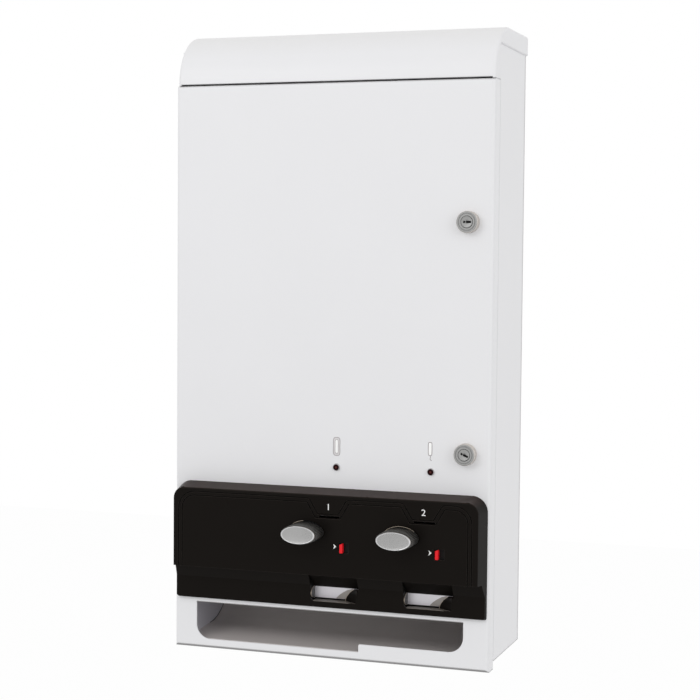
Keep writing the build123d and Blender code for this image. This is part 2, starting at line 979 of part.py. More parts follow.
def coin_wheel(x):
    """Disc on the shaft with one pocket for a coin."""
    centre = (x + knob_shift, knob_height)
    rear = wheel_front + wheel_sheet
    wheel = rod_y(wheel_radius, *centre, wheel_front, rear)
    pocket_turn = radians(coin_pocket_angle)
    pocket = (centre[0] + wheel_radius * cos(pocket_turn), centre[1] + wheel_radius * sin(pocket_turn))
    wheel -= rod_y(coin_radius, *pocket, wheel_front - overrun, rear + overrun)
    return wheel - rod_y(shaft_radius + fit, *centre, wheel_front - overrun, rear + overrun)


def vend_cam(x):
    """Eccentric disc on the rear end of the shaft, low on the side that rises."""
    centre = (x + knob_shift, knob_height)
    lobe = (
        centre[0] - cam_throw * sin(radians(cam_angle)),
        centre[1] + cam_throw * cos(radians(cam_angle)),
    )
    cam = rod_y(cam_radius, *lobe, cam_front, cam_front + cam_sheet)
    return cam - rod_y(shaft_radius + fit, *centre, cam_front - overrun, cam_front + overrun * 2)


def knob_spring(x):
    """Torsion spring round the shaft, between the wheel and the rear plate."""
    ring = Rot(-90, 0, 0) * coil(coil_radius, coil_wire, coil_pitch, coil_turns)
    return Pos(x + knob_shift, coil_start, knob_height) * ring


def rocker(x, left, right):
    """Rod with a tail over the cam, and fingers that release one pack at a time."""
    centre = x + knob_shift
    y = rocker_y
    z = rocker_z
    half_sheet = rocker_sheet / 2
    shape = rod_x(rocker_rod, y, z, left - gap, right + gap)
    tail_low = knob_height + cam_throw * cos(radians(cam_angle)) + cam_radius + gap
    shape += block(
        centre - rocker_tail_half, centre + rocker_tail_half,
        y - rocker_tail_reach, y, tail_low, tail_low + rocker_tail,
    )
    for side in (-1, 1):
        edge = sorted((centre + side * rocker_arm_inner, centre + side * rocker_arm_outer))
        shape += block(*edge, y - half_sheet, y + half_sheet, z - rocker_lower, z + rocker_upper)
        shape += block(
            *edge, y - half_sheet, y + rocker_tip, z + rocker_upper - rocker_sheet, z + rocker_upper
        )
    shape += block(
        centre - rocker_arm_outer, centre + rocker_arm_outer,
        y - half_sheet, y + rocker_finger,
        z - rocker_lower - rocker_sheet, z - rocker_lower,
    )
    return shape


# Coin return


def return_cup(x):
    """Pale liner behind the bezel: floor, two sides, a back and two fixing ears."""
    inner = cup_half
    outer = inner + cup_sheet
    floor = cup_low - cup_sheet
    cup = block(x - outer, x + outer, -cup_front, cup_rear, floor, cup_high)
    cup -= block(
        x - inner, x + inner, -cup_front - overrun, cup_rear - cup_sheet, cup_low, cup_high + overrun
    )
    for side in (-1, 1):
        edge = sorted((x + side * outer, x + side * (outer + cup_ear)))
        cup += block(*edge, door_sheet, door_sheet + cup_sheet, cup_low, cup_high)
    return cup - rod_x(flap_rod + fit, flap_y, flap_axis, x - outer - overrun, x + outer + overrun)


def return_flap(x):
    """Flap that hangs from its rod and swings inwards."""
    half = cup_half - gap
    front = flap_front
    flap = block(x - half, x + half, front, front + flap_sheet, flap_low, flap_axis)
    return flap + rod_x(flap_rod, flap_y, flap_axis, x - cup_half - cup_sheet, x + cup_half + cup_sheet)


# Sold-out window


def indicator_lens(x):
    """Round window with a flange behind the door."""
    lens = rod_y(lens_radius, x, window_height, -lens_proud, door_sheet)
    lens = fillet(lens.faces().sort_by(Axis.Y)[0].edges(), lens_proud / 2)
    return lens + rod_y(lens_flange_radius, x, window_height, door_sheet, door_sheet + lens_flange)


def stock_flag(x):
    """Lever with a red disc in front and a finger that feels the stack."""
    half = flag_sheet / 2
    flag = rod_x(flag_rod, flag_y, window_height, x - flag_rod_half, x + flag_rod_half)
    flag += block(x - half, x + half, flag_disc_front, flag_y, window_height - half, window_height + half)
    flag += rod_y(flag_disc_radius, x, window_height, flag_disc_front, flag_disc_front + flag_sheet / 3)
    finger = outline([
        (flag_y, window_height + half),
        (flag_y, window_height - half),
        (flag_y + half, window_height - half),
        (flag_y + flag_finger_y, window_height + flag_finger_z - half),
        (flag_y + flag_finger_y, window_height + flag_finger_z),
        (flag_y + flag_finger_y - half, window_height + flag_finger_z),
    ])
    return flag + across(finger, x - half, x + half)


def flag_spring(x):
    """Small torsion coil round the flag's rod, beside the lever."""
    ring = Rot(0, 90, 0) * coil(flag_coil_radius, flag_coil_wire, flag_coil_pitch, flag_coil_turns)
    return Pos(x + flag_sheet / 2 + gap + flag_coil_wire, flag_y, window_height) * ring


# Magazines


def magazine(x, left, right):
    """Upright channel with front lips, a rear ledge and the flag's strap."""
    sheet = magazine_sheet
    low = magazine_low
    high = magazine_high
    side = outline([
        (magazine_cheek_front, low),
        (cabinet_back, low),
        (cabinet_back, high),
        (magazine_front - sheet, high),
        (magazine_front - sheet, magazine_cheek_high),
        (magazine_cheek_front, magazine_cheek_high),
    ])
    shape = across(side, left, left + sheet) + across(side, right - sheet, right)
    shape += block(left, right, column_rear, cabinet_back, low, high)
    lip = magazine_front - sheet
    shape += block(left, left + magazine_lip, lip, magazine_front, low, high)
    shape += block(right - magazine_lip, right, lip, magazine_front, low, high)
    shape += block(left, right, cabinet_back - ledge_depth, cabinet_back, ledge_height - sheet, ledge_height)
    shape += block(left, right, lip, magazine_front, strap_low, strap_high)
    shape -= block(
        x - strap_notch, x + strap_notch, lip - overrun, magazine_front + overrun,
        window_height - strap_notch, high,
    )
    for direction in (-1, 1):
        edge = sorted((x + direction * flag_ear_inner, x + direction * (flag_ear_inner + flag_ear)))
        shape += block(
            *edge, flag_y - flag_ear_half / 2, magazine_front,
            window_height - flag_ear_half, window_height + flag_ear_half,
        )
    shape -= rod_x(flag_rod + fit, flag_y, window_height, x - flag_rod_half, x + flag_rod_half)
    shape -= rod_x(rocker_rod + fit, rocker_y, rocker_z, left - overrun, right + overrun)
    for place in magazine_screw_places():
        shape -= rod_y(magazine_screw_radius + fit, *place, column_rear - overrun, depth)
    return shape


def follower(window, left, right):
    """Weight that rides down on the stack, with a grip and a notch for the flag."""
    inset = magazine_sheet + follower_clearance
    front = magazine_front + follower_clearance
    rear = column_rear - follower_rear_clearance
    low = ledge_height + gap
    plate = block(left + inset, right - inset, front, rear, low, low + follower_sheet)
    plate = chamfer(plate.faces().sort_by(Axis.Z)[-1].edges(), follower_chamfer)
    middle = ((left + right) / 2, (front + rear) / 2)
    notch = strap_notch + fit
    plate -= block(
        window - notch, window + notch, front - overrun,
        flag_y + flag_finger_y + follower_clearance, low - overrun, low + follower_sheet + overrun,
    )
    top = low + follower_sheet
    grip = rod_z(follower_grip_radius, *middle, top, top + follower_grip)
    return plate + fillet(grip.faces().sort_by(Axis.Z)[-1].edges(), follower_grip_radius / 2)


def magazine_screw(x, z):
    """Pan-head screw through a magazine's back and the cabinet's back."""
    head = rod_y(magazine_screw_head_radius, x, z, column_rear - magazine_screw_head, column_rear)
    head = fillet(head.faces().sort_by(Axis.Y)[0].edges(), magazine_screw_head / 2)
    return head + rod_y(magazine_screw_radius, x, z, column_rear, depth - gap)


# Tray


def tray_section(inset):
    """Side view of the trough's inner surface, lowered by a sheet's thickness."""
    radius = tray_radius + inset
    centre_z = tray_low_z + tray_radius
    rise = tray_high - centre_z
    top_y = tray_low_y + sqrt(radius**2 - rise**2)
    bend = radians(45)
    arc = ThreePointArc(
        (tray_low_y, centre_z - radius),
        (tray_low_y + radius * sin(bend), centre_z - radius * cos(bend)),
        (top_y, tray_high),
    )
    rest = Polyline(
        (top_y, tray_high),
        (tray_front, tray_high),
        (tray_front, tray_front_z - inset),
        (tray_low_y, centre_z - radius),
    )
    return make_face(arc + rest)


def product_tray():
    """Quarter-round trough between two end walls that stand on the cabinet's floor."""
    trough = across(tray_section(tray_sheet) - tray_section(0), -tray_half, tray_half)
    floor = cabinet_low + cabinet_sheet
    rear = tray_low_y + tray_radius + tray_sheet
    for side in (-1, 1):
        edge = sorted((side * tray_half, side * (tray_half - tray_sheet)))
        trough += block(*edge, side_front, rear, floor, tray_end_high)
        trough += block(*edge, tray_front, side_front, tray_front_z - tray_sheet, tray_end_high)
    return trough


def drop_baffle():
    """Upright sheet that keeps falling packs out of the door's mechanisms."""
    return block(
        -inner_half, inner_half, baffle_y, baffle_y + baffle_sheet, baffle_low, baffle_high
    )


# Coins


def coin_runway():
    """Narrow sloping channel in which coins roll to the box."""
    left = box_right + gap * 2
    right = module_x["tampon"] + knob_shift + runway_right
    front = runway_front
    rear = front + runway_width + 2 * runway_sheet
    side = outline([
        (left, runway_low_left),
        (right, runway_low_right),
        (right, runway_low_right + runway_wall),
        (left, runway_low_left + runway_wall),
    ])
    hollow = outline([
        (left - overrun, runway_low_left + runway_sheet),
        (right - runway_sheet, runway_low_right + runway_sheet),
        (right - runway_sheet, runway_low_right + runway_wall + overrun),
        (left - overrun, runway_low_left + runway_wall + overrun),
    ])
    shape = inward(side, front, rear)
    shape -= inward(hollow, front + runway_sheet, rear - runway_sheet)
    hang = frame_rear - frame_sheet
    for x in module_x.values():
        centre = x + knob_shift
        shape += block(
            centre - hanger_width / 2, centre + hanger_width / 2, rear - runway_sheet, hang,
            runway_low_right + runway_wall / 2, frame_low + hanger_rise,
        )
    return shape


def coin_box():
    """Open-topped till with an inlet in its right side and a pull tab behind."""
    inner = box_sheet
    shape = block(box_left, box_right, box_front, box_rear, box_low, box_high)
    shape -= block(
        box_left + inner, box_right - inner, box_front + inner, box_rear - inner,
        box_low + inner, box_high + overrun,
    )
    shape -= block(
        box_right - inner - gap, box_right + overrun,
        runway_front + runway_sheet, runway_front + runway_sheet + runway_width,
        runway_low_left + runway_sheet, runway_low_left + runway_wall,
    )
    middle = (box_left + box_right) / 2
    return shape + block(
        middle - box_tab_half, middle + box_tab_half, box_rear - inner, box_rear,
        box_high, box_high + box_tab_high,
    )


def coin_box_shelf():
    """Shelf on the door under the till, with an upright, a rear lip and a left end."""
    left = box_left - gap - shelf_sheet
    right = box_right + shelf_side / 2
    low = box_low - gap / 2 - shelf_sheet
    rear = box_rear + gap + shelf_sheet
    shape = block(left, right, door_sheet, rear, low, low + shelf_sheet)
    shape += block(left, right, door_sheet, door_sheet + shelf_sheet, low, low + shelf_upright)
    shape += block(left, right, rear - shelf_sheet, rear, low, low + shelf_sheet + shelf_rear_lip)
    return shape + block(left, left + shelf_sheet, door_sheet, rear, low, low + shelf_rear_lip)


# Locks


def lock_body(z):
    """Collar that stands proud with a ring on its front, and the barrel, bored for the plug."""
    body = rod_y(lock_collar_radius, lock_x, z, -lock_collar, 0)
    body = chamfer(body.faces().sort_by(Axis.Y)[0].edges(), lock_ring)
    body += rod_y(lock_ring_radius, lock_x, z, -lock_collar - lock_ring, -lock_collar)
    body += rod_y(lock_barrel_radius, lock_x, z, 0, lock_barrel_rear)
    return body - rod_y(plug_radius + fit, lock_x, z, -lock_collar - overrun, lock_barrel_rear + overrun)


def lock_plug(z, turn):
    """Plug with a keyway, which turns in the body."""
    front = -lock_collar - lock_ring - plug_proud
    plug = rod_y(plug_radius, 0, 0, front, plug_rear)
    keyway = block(
        -keyway_width / 2, keyway_width / 2, front - overrun, front + keyway_depth,
        -keyway_length / 2, keyway_length / 2,
    )
    return Pos(lock_x, 0, z) * (plug - Rot(0, turn, 0) * keyway)


def lock_nut_ring(z):
    """Hexagon nut behind the door."""
    face = RegularPolygon(lock_nut_across / 2, 6, major_radius=False)
    nut = inward(Pos(lock_x, z) * face, door_sheet, door_sheet + lock_nut)
    return nut - rod_y(lock_barrel_radius + fit, lock_x, z, 0, door_sheet + lock_nut + overrun)


def lock_cam_plate(z):
    """Cam on the plug's rear end. It hangs down unlocked and turns to the right."""
    disc = Circle(lock_cam_half)
    arm = Pos(0, -lock_cam_reach / 2) * Rectangle(2 * lock_cam_half, lock_cam_reach)
    return Pos(lock_x, 0, z) * inward(disc + arm, plug_rear, plug_rear + lock_cam)


# Screws


def bezel_screw(x, z):
    """Screw from inside the door into a boss of the bezel."""
    head = rod_y(screw_head_radius, x, z, door_sheet, door_sheet + screw_head)
    head = fillet(head.faces().sort_by(Axis.Y)[-1].edges(), screw_head / 2)
    return head + rod_y(screw_radius, x, z, -bezel_proud / 2, door_sheet)


def mech_screw(x, z):
    """Screw that holds a mechanism frame to the door's sheet."""
    seat = door_sheet + frame_sheet
    head = rod_y(mech_screw_head_radius, x, z, seat, seat + mech_screw_head)
    head = fillet(head.faces().sort_by(Axis.Y)[-1].edges(), mech_screw_head / 2)
    return head + rod_y(mech_screw_radius, x, z, 0, seat)


def group(shapes):
    """Separate solids kept in one node."""
    return Compound(children=[solid for shape in shapes for solid in shape.solids()])


save("cabinet_shell", cabinet_shell())
save("back_panel", back_panel())
save("front_strips", group(front_strips()))
save("hood_frame", hood_frame())
save("hood", hood())
save("door_pan", door_pan())
save("hinge_cabinet_leaf", hinge_leaf_piece(1, 0))
save("hinge_door_leaf", hinge_leaf_piece(-1, 1))
save("hinge_pin", rod_z(hinge_pin_radius, hinge_x, hinge_y, hinge_low, hinge_low + hinge_length))
save("bezel", bezel())
save("product_tray", product_tray())
save("drop_baffle", drop_baffle())
save("coin_runway", coin_runway())
save("coin_box", coin_box())
save("coin_box_shelf", coin_box_shelf())

for name, x in module_x.items():
    left, right = columns[name]
    save(f"{name}_knob", knob(x))
    save(f"{name}_knob_face", knob_face(x))
    save(f"{name}_knob_shaft", knob_shaft(x))
    save(f"{name}_coin_wheel", coin_wheel(x))
    save(f"{name}_vend_cam", vend_cam(x))
    save(f"{name}_mech_frame", mech_frame(x))
    save(f"{name}_rocker", rocker(x, left, right))
    save(f"{name}_return_button", return_button(x))
    save(f"{name}_reject_slide", reject_slide(x))
    save(f"{name}_return_cup", return_cup(x))
    save(f"{name}_return_flap", return_flap(x))
    save(f"{name}_stock_flag", stock_flag(x))
    save(f"{name}_magazine", magazine(x, left, right))
    save(f"{name}_follower", follower(x, left, right))

for name, z in lock_heights.items():
    save(f"{name}_lock_body", lock_body(z))
    save(f"{name}_lock_plug", lock_plug(z, keyway_turn[name]))
    save(f"{name}_lock_cam", lock_cam_plate(z))

save("lock_nuts", group([lock_nut_ring(z) for z in lock_heights.values()]))
save("knob_bushes", group([knob_bush(x) for x in module_x.values()]))
save("knob_springs", group([knob_spring(x) for x in module_x.values()]))
save("button_springs", group([button_spring(x) for x in module_x.values()]))
save("flag_springs", group([flag_spring(x) for x in module_x.values()]))
save("indicator_lenses", group([indicator_lens(x) for x in module_x.values()]))
save("bezel_screws", group([bezel_screw(*place) for place in boss_places()]))
save("mech_screws", group([mech_screw(*p) for x in module_x.values() for p in mech_screw_places(x)]))
save("magazine_screws", group([magazine_screw(*place) for place in magazine_screw_places()]))
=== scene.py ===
import json
from math import cos, pi, radians, sin

import bmesh
import bpy
from mathutils import Matrix, Vector


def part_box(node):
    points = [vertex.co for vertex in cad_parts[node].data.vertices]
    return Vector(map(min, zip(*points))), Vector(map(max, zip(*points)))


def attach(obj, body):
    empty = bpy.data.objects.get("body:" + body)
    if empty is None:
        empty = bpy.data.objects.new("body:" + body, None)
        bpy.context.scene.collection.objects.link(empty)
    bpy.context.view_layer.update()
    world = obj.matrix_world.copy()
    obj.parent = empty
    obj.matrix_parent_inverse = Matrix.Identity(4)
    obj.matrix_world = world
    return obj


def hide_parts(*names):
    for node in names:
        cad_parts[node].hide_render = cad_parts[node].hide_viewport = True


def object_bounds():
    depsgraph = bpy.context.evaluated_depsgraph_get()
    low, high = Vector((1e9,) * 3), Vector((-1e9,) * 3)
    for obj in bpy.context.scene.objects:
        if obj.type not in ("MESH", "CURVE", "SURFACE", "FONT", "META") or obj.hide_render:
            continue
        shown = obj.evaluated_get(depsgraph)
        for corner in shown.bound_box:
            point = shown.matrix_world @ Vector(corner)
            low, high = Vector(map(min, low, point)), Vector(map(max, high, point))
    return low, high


# The looks of a wall cabinet that hands out pads and tampons. Everything is in metres,
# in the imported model's frame: x to the right, y into the wall, z up.

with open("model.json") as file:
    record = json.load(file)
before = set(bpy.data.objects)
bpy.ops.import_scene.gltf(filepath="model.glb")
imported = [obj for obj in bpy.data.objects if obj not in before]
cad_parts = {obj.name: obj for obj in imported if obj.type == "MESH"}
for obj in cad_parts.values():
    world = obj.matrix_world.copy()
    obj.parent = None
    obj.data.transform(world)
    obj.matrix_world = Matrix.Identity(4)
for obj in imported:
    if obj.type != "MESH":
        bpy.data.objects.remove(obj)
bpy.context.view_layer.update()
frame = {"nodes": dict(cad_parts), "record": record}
nodes = frame["nodes"]

MM = 0.001
MERGE = 0.000001
SMOOTH_BELOW = 35.0
MODULES = ("pad", "tampon")

# Front faces of the bezel's plate and of the door
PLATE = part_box("bezel")[0].y
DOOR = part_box("door_pan")[0].y

# Camera, with its lens and sensor in millimetres
CAMERA_PLACE = (0.602, -1.8105, 0.0935)
CAMERA_YAW = radians(-19.02)
CAMERA_PITCH = radians(3.11)
CAMERA_ROLL = radians(0.49)
CAMERA_LENS = 86.3
CAMERA_SENSOR = 36.0

# Light: each lamp's place and power
LAMPS = {"key": ((-1.2, -2.4, 1.2), 15.0), "fill": ((2.2, -1.4, 0.6), 10.0)}
LAMP_TARGET = (0.0, -0.1, 0.0)
LAMP_SIZE = 1.6
AMBIENT = 0.79
FLOOR_DROP = 0.9
FLOOR_REACH = 6.0
FLOOR_GLOW = 0.97
FLOOR_GREY = 0.75
FLOOR_ROUGH = 0.9

# Knobs: the dish as shares of the face's inner radius and of its depth
KNOB_STEPS = 72
FLUTE_COUNT = 58
FLUTE_SIDES = 8
FLUTE_RADIUS = 0.55 * MM
FLUTE_INSET = 0.6 * MM
OVAL_STEPS = 160
KNOB_TAPER = 0.022
TRIM = 0.2 * MM
SKIRT_RISE = 2.1 * MM
SKIRT_INSET = 0.4 * MM
SKIRT_DEEP = 1.8 * MM
# Painted highlights on the knobs' foot edges: each arc's first and last angle in degrees.
GLINT_ARCS = {"pad": (98.0, 138.0), "tampon": (36.0, 150.0)}
GLINT_STEPS = 16
FACE_RIM = 1.7 * MM
RIM_INNER_SHARE = 0.35
RIM_OUTER_SHARE = 0.25
FACE_DISH = 0.45 * MM
DISH_SHARES = ((0.0, 1.6), (0.7, 1.3), (0.95, 0.6), (1.0, 0.4))

# Return buttons
BUTTON_LEFT = 0.9 * MM
BUTTON_RIGHT = 1.1 * MM
BUTTON_SLANT = 1.2 * MM
BUTTON_ROUND = 0.7 * MM
BUTTON_ROUND_STEPS = 4
BUTTON_SMOOTH_BELOW = 50.0

# Print on the bezel
PRINT = 0.06 * MM
ARROW_GAP = 5.9 * MM
ARROW_WIDE = 3.5 * MM
ARROW_HALF = 2.8 * MM
ARROW_RISE = 1.3 * MM
DIGITS = {"pad": "1", "tampon": "2"}
DIGIT_HIGH = 6.6 * MM
DIGIT_WIDEN = 1.1
DIGIT_SHIFT = -1.0 * MM
DIGIT_RISE = 24.0 * MM
DIGIT_STEPS = 4

# Coin slots
SLOT_RISE = 16.6 * MM
SLOT_HALF = 2.6 * MM
# Painted shade below each slot: its reach left and right, its drop, and its sheet and lift off the door
SLOT_SHADE_LEFT = 22.0 * MM
SLOT_SHADE_RIGHT = 13.0 * MM
SLOT_SHADE_DROP = 7.0 * MM
SLOT_SHADE_SHEET = 0.3 * MM
SLOT_SHADE_LIFT = 0.05 * MM

# Return cups: the outline of the painted shadow on the flap in millimetres, across from the cup's middle and
# up from the flap's foot
CUP_WALL = 1.4 * MM
CUP_TRIM = 0.22 * MM
CUP_FLOOR_DROP = 1.8 * MM
FLOOR_STRIP_SHEET = 0.25 * MM
SILL_PROUD = 4.5 * MM
FLAP_HALF = 0.6 * MM
CHEEK_SHEET = 0.8 * MM
CHEEK_STEPS = 20
CHEEK_REACH = 11.6 * MM
CHEEK_HALF = 6.6 * MM
CHEEK_SINK = 0.4 * MM
RIGHT_CHEEK_LOW = 8.9 * MM
RIGHT_CHEEK_SWEEP = 9.8 * MM
RIGHT_CHEEK_RISE = 13.4 * MM
RIGHT_CHEEK_SETBACK = 7.2 * MM
LIP_FOOT_SHARE = 1.9
LIP_CREST_SHARE = 1.7
FLAP_SHADOW_PROUD = 0.12 * MM
FLAP_SHADOW_SUNK = 0.1 * MM
FLAP_SHADOW_POINTS = (
    (17.5, 12.0), (11.0, 10.2), (5.6, 7.2), (1.8, 4.4), (-0.8, 1.8), (-2.2, 0.2), (14.0, 0.2), (15.0, 5.6),
)

# Tray and hood
TRAY_SHEET = 1.2 * MM
TRAY_RADIUS = 60.0 * MM
TRAY_CENTRE_RISE = 65.0 * MM
TRAY_SWEEP = 88.0
TRAY_STEPS = 40
SEAM_HALF = 0.35 * MM
HOOD_ROLL_INSET = 0.25 * MM
HOOD_ROLL_DROP = 0.9 * MM
HOOD_ROLL_SETBACK = 0.3 * MM

# Pictures over the windows: each outline's half width, half height and half line
PILL_STEPS = 40
PILL_SQUARE = 0.55
PAD_RISE = 22.3 * MM
PAD_WAIST = 0.14
PAD_BAND = (3.0 * MM, 8.5 * MM, 1.15 * MM)
PAD_LINES = {
    "outer": (4.15 * MM, 9.7 * MM, 0.3 * MM),
    "inner": (1.95 * MM, 7.4 * MM, 0.24 * MM),
}
TAMPON_RISE = 24.2 * MM
TAMPON_SHIFT = -1.0 * MM
TAMPON_LINE = (2.0 * MM, 6.9 * MM, 0.36 * MM)
TAMPON_SQUARE = 0.42
STRING_STEPS = 14
STRING_LONG = 5.4 * MM
STRING_SWAY = 0.5 * MM
STRING_KICK = 1.6 * MM
STRING_HALF = 0.3 * MM

# Windows: the rim's radii and depths in millimetres, from the lens's front and from the door's face
WINDOW_STEPS = 40
RIM_FRONT = ((3.3, 0.5), (3.55, 0.4))
RIM_FOOT = ((3.8, -0.3), (3.9, 0.05), (3.3, 0.05))
CORE_STEPS = 32
CORE_RADIUS = 1.1 * MM
CORE_PROUD = 0.05 * MM

# Locks: turned rings as inner and outer radius and depth in millimetres, the plug's dish as
# shares of its radius and depths in millimetres, and the keyway's points along and across it
KEYWAY_LEANS = {"lower": -22.0, "upper": 0.0}
LOCK_STEPS = 64
LOCK_RINGS = ((6.5, 8.3, 0.1), (8.5, 9.1, 0.75), (9.3, 10.5, 0.15))
LOCK_EDGE = 0.5 * MM
PLUG_PLAY = 0.05 * MM
BORE_DEEP = 0.9 * MM
BORE_BEVEL = 0.5 * MM
BORE_FRONT = 0.25 * MM
BARREL = 9.2 * MM
THREAD_PITCH = 1.0 * MM
THREAD_DEEP = 0.5 * MM
THREAD_START = 0.05 * MM
PLUG_STEPS = 48
PLUG_DISH = ((0.0, 0.5), (0.55, 0.42), (0.8, 0.1), (0.93, 0.0), (1.0, 0.35))
KEYWAY_DEEP = 4.0 * MM
KEYWAY_OVERRUN = 2.0 * MM
KEYWAY_SHEET = 0.1 * MM
KEYWAY_POINTS = (
    (-3.7, 0.8), (-3.0, 1.4), (-2.0, 1.0), (-1.7, 0.3), (-0.9, 0.3), (-0.6, 1.1), (4.3, 1.1), (4.8, 0.6),
    (4.8, -0.7), (4.3, -1.1), (1.4, -1.2), (-0.5, -1.1), (-0.9, -0.3), (-1.7, -0.4),
    (-2.1, -1.1), (-3.0, -1.3), (-3.7, -0.7),
)

# Screws: node, body, the head's thickness, the shank's radius, and whether the head faces the wall
SCREW_SETS = (
    ("bezel_screws", "door", 2.0 * MM, 1.7 * MM, True),
    ("mech_screws", "door", 1.8 * MM, 1.5 * MM, True),
    ("magazine_screws", "root", 2.2 * MM, 2.0 * MM, False),
)
HEAD_SIDES = 24
SHANK_SIDES = 16
HEAD_CROWN_SHARE = 0.72
CROSS_ARM_SHARE = 0.95
CROSS_WIDTH_SHARE = 0.24
CROSS_LIFT_SHARE = 0.95
SCREW_SMOOTH_BELOW = 30.0

# Finishes: slopes of the surface between which an effect sets in, and the noise behind it
NOISE_MEAN = 0.5
SPOT_SCALE = 26.0
SPOT_SHARE = 0.7
EDGE_SHADE_SLOPES = (0.06, 0.4)
UNDERSIDE_SLOPES = (0.9, 0.99)
END_SLOPES = (0.6, 0.9)
FLOOR_SLOPES = (0.0, 0.9)
TOP_TINT_SLOPES = (0.5, 0.95)
TOP_TINT_UNEVEN = (0.6, 1.3)
TOP_TINT_SCALE = 90.0
FRONT_SLOPE = -0.9
HIGHLIGHT_BENDS = (0.03, 0.2)
FACE_MARGIN = 0.3 * MM


# Places read from the frame


def middle(node):
    """Middle of a node's box."""
    low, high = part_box(node)
    return (low + high) / 2


def oval(node):
    """Middle, half length and half height of an oval node."""
    low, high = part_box(node)
    return (low + high) / 2, (high.x - low.x) / 2, (high.z - low.z) / 2


def round_end(node):
    """Centre and radius of a round node that points along y."""
    low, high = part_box(node)
    return ((low.x + high.x) / 2, (low.z + high.z) / 2), (high.x - low.x) / 2


def window_place(name):
    """Middle of a sold-out window."""
    low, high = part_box("indicator_lenses")
    return middle(f"{name}_return_cup").x, (low.z + high.z) / 2


# Node helpers

NUMBER = "NodeSocketFloat"
TINT = "NodeSocketColor"
DIRECTION = "NodeSocketVector"

# Sockets of a colour mix, which share their names with its number ones
MIX_SHARE, MIX_UNDER, MIX_OVER, MIX_RESULT = 0, 6, 7, 2


def socket(tree, value, target):
    """Set an input to a value, or link it to another node's output."""
    if isinstance(value, bpy.types.NodeSocket):
        tree.links.new(value, target)
    else:
        target.default_value = value


def add_node(tree, kind, settings=None, **inputs):
    """Add a node, with its settings and its inputs by name."""
    node = tree.nodes.new(kind)
    for name, value in (settings or {}).items():
        setattr(node, name, value)
    for name, value in inputs.items():
        socket(tree, value, node.inputs[name.replace("_", " ")])
    return node


def math_node(tree, operation, first, second):
    """One sum on two values."""
    node = add_node(tree, "ShaderNodeMath", {"operation": operation})
    socket(tree, first, node.inputs[0])
    socket(tree, second, node.inputs[1])
    return node.outputs[0]


def product(tree, first, *others):
    """Values multiplied together."""
    for other in others:
        first = math_node(tree, "MULTIPLY", first, other)
    return first


def components(tree, vector):
    """Parts of a vector along x, y and z."""
    return add_node(tree, "ShaderNodeSeparateXYZ", Vector=vector).outputs


def combined(tree, **parts):
    """Vector from its parts."""
    return add_node(tree, "ShaderNodeCombineXYZ", **parts).outputs[0]


def ramp(tree, value, start, end):
    """Nought up to one limit of a value, one from another, and a steady climb between them."""
    return add_node(tree, "ShaderNodeMapRange", Value=value, From_Min=start, From_Max=end).outputs[0]


def span(tree, value, low, high):
    """A value from nought to one, stretched between two limits."""
    return add_node(tree, "ShaderNodeMapRange", Value=value, To_Min=low, To_Max=high).outputs[0]


def noise(tree, place, scale, detail, **inputs):
    """Noise value at a place."""
    node = add_node(tree, "ShaderNodeTexNoise", Vector=place, Scale=scale, Detail=detail, **inputs)
    return node.outputs[0]


def object_place(tree):
    """Place on the piece, in its own axes."""
    return tree.nodes.new("ShaderNodeTexCoord").outputs["Object"]


def flat_normal(tree):
    """Normal of the surface as it is."""
    return tree.nodes.new("ShaderNodeNewGeometry").outputs["Normal"]


def soft_normal(tree, radius, samples=8):
    """Normal of the surface with its edges rounded."""
    return add_node(tree, "ShaderNodeBevel", {"samples": samples}, Radius=radius).outputs[0]


def own_axes(tree, normal):
    """Parts of a normal along the piece's own axes."""
    turned = add_node(
        tree, "ShaderNodeVectorTransform",
        {"vector_type": "NORMAL", "convert_from": "WORLD", "convert_to": "OBJECT"}, Vector=normal,
    )
    return components(tree, turned.outputs[0])


def mix_colour(tree, share, under, over):
    """Mix of two colours by a share."""
    mix = add_node(tree, "ShaderNodeMix", {"data_type": "RGBA"})
    for index, value in ((MIX_SHARE, share), (MIX_UNDER, under), (MIX_OVER, over)):
        socket(tree, value, mix.inputs[index])
    return mix.outputs[MIX_RESULT]


def new_group(name, inputs, outputs):
    """Node group with named inputs, each with its kind and default, and outputs."""
    group = bpy.data.node_groups.new(name, "ShaderNodeTree")
    for label, kind, default in inputs:
        item = group.interface.new_socket(label, in_out="INPUT", socket_type=kind)
        item.default_value = default
    for label, kind in outputs:
        group.interface.new_socket(label, in_out="OUTPUT", socket_type=kind)
    start = group.nodes.new("NodeGroupInput").outputs
    end = group.nodes.new("NodeGroupOutput").inputs
    return group, start, end


# Effects that several finishes share

LOOK_OUTPUTS = [("Color", TINT), ("Roughness", NUMBER), ("Normal", DIRECTION)]


def finish_look(group, start, end, swing, relief, height, samples):
    """Colour and gloss that swing together, and a fine relief over rounded edges."""
    shade = math_node(group, "ADD", 1.0, product(group, swing, start["Color Change"]))
    tint = add_node(group, "ShaderNodeVectorMath", {"operation": "SCALE"}, Scale=shade)
    socket(group, start["Color"], tint.inputs[0])
    gloss = math_node(group, "ADD", start["Roughness"], product(group, swing, start["Roughness Change"]))
    edge = soft_normal(group, start["Edge Radius"], samples)
    bump = add_node(group, "ShaderNodeBump", Height=relief, Distance=height, Normal=edge)
    socket(group, tint.outputs[0], end["Color"])
    socket(group, gloss, end["Roughness"])
    socket(group, bump.outputs[0], end["Normal"])


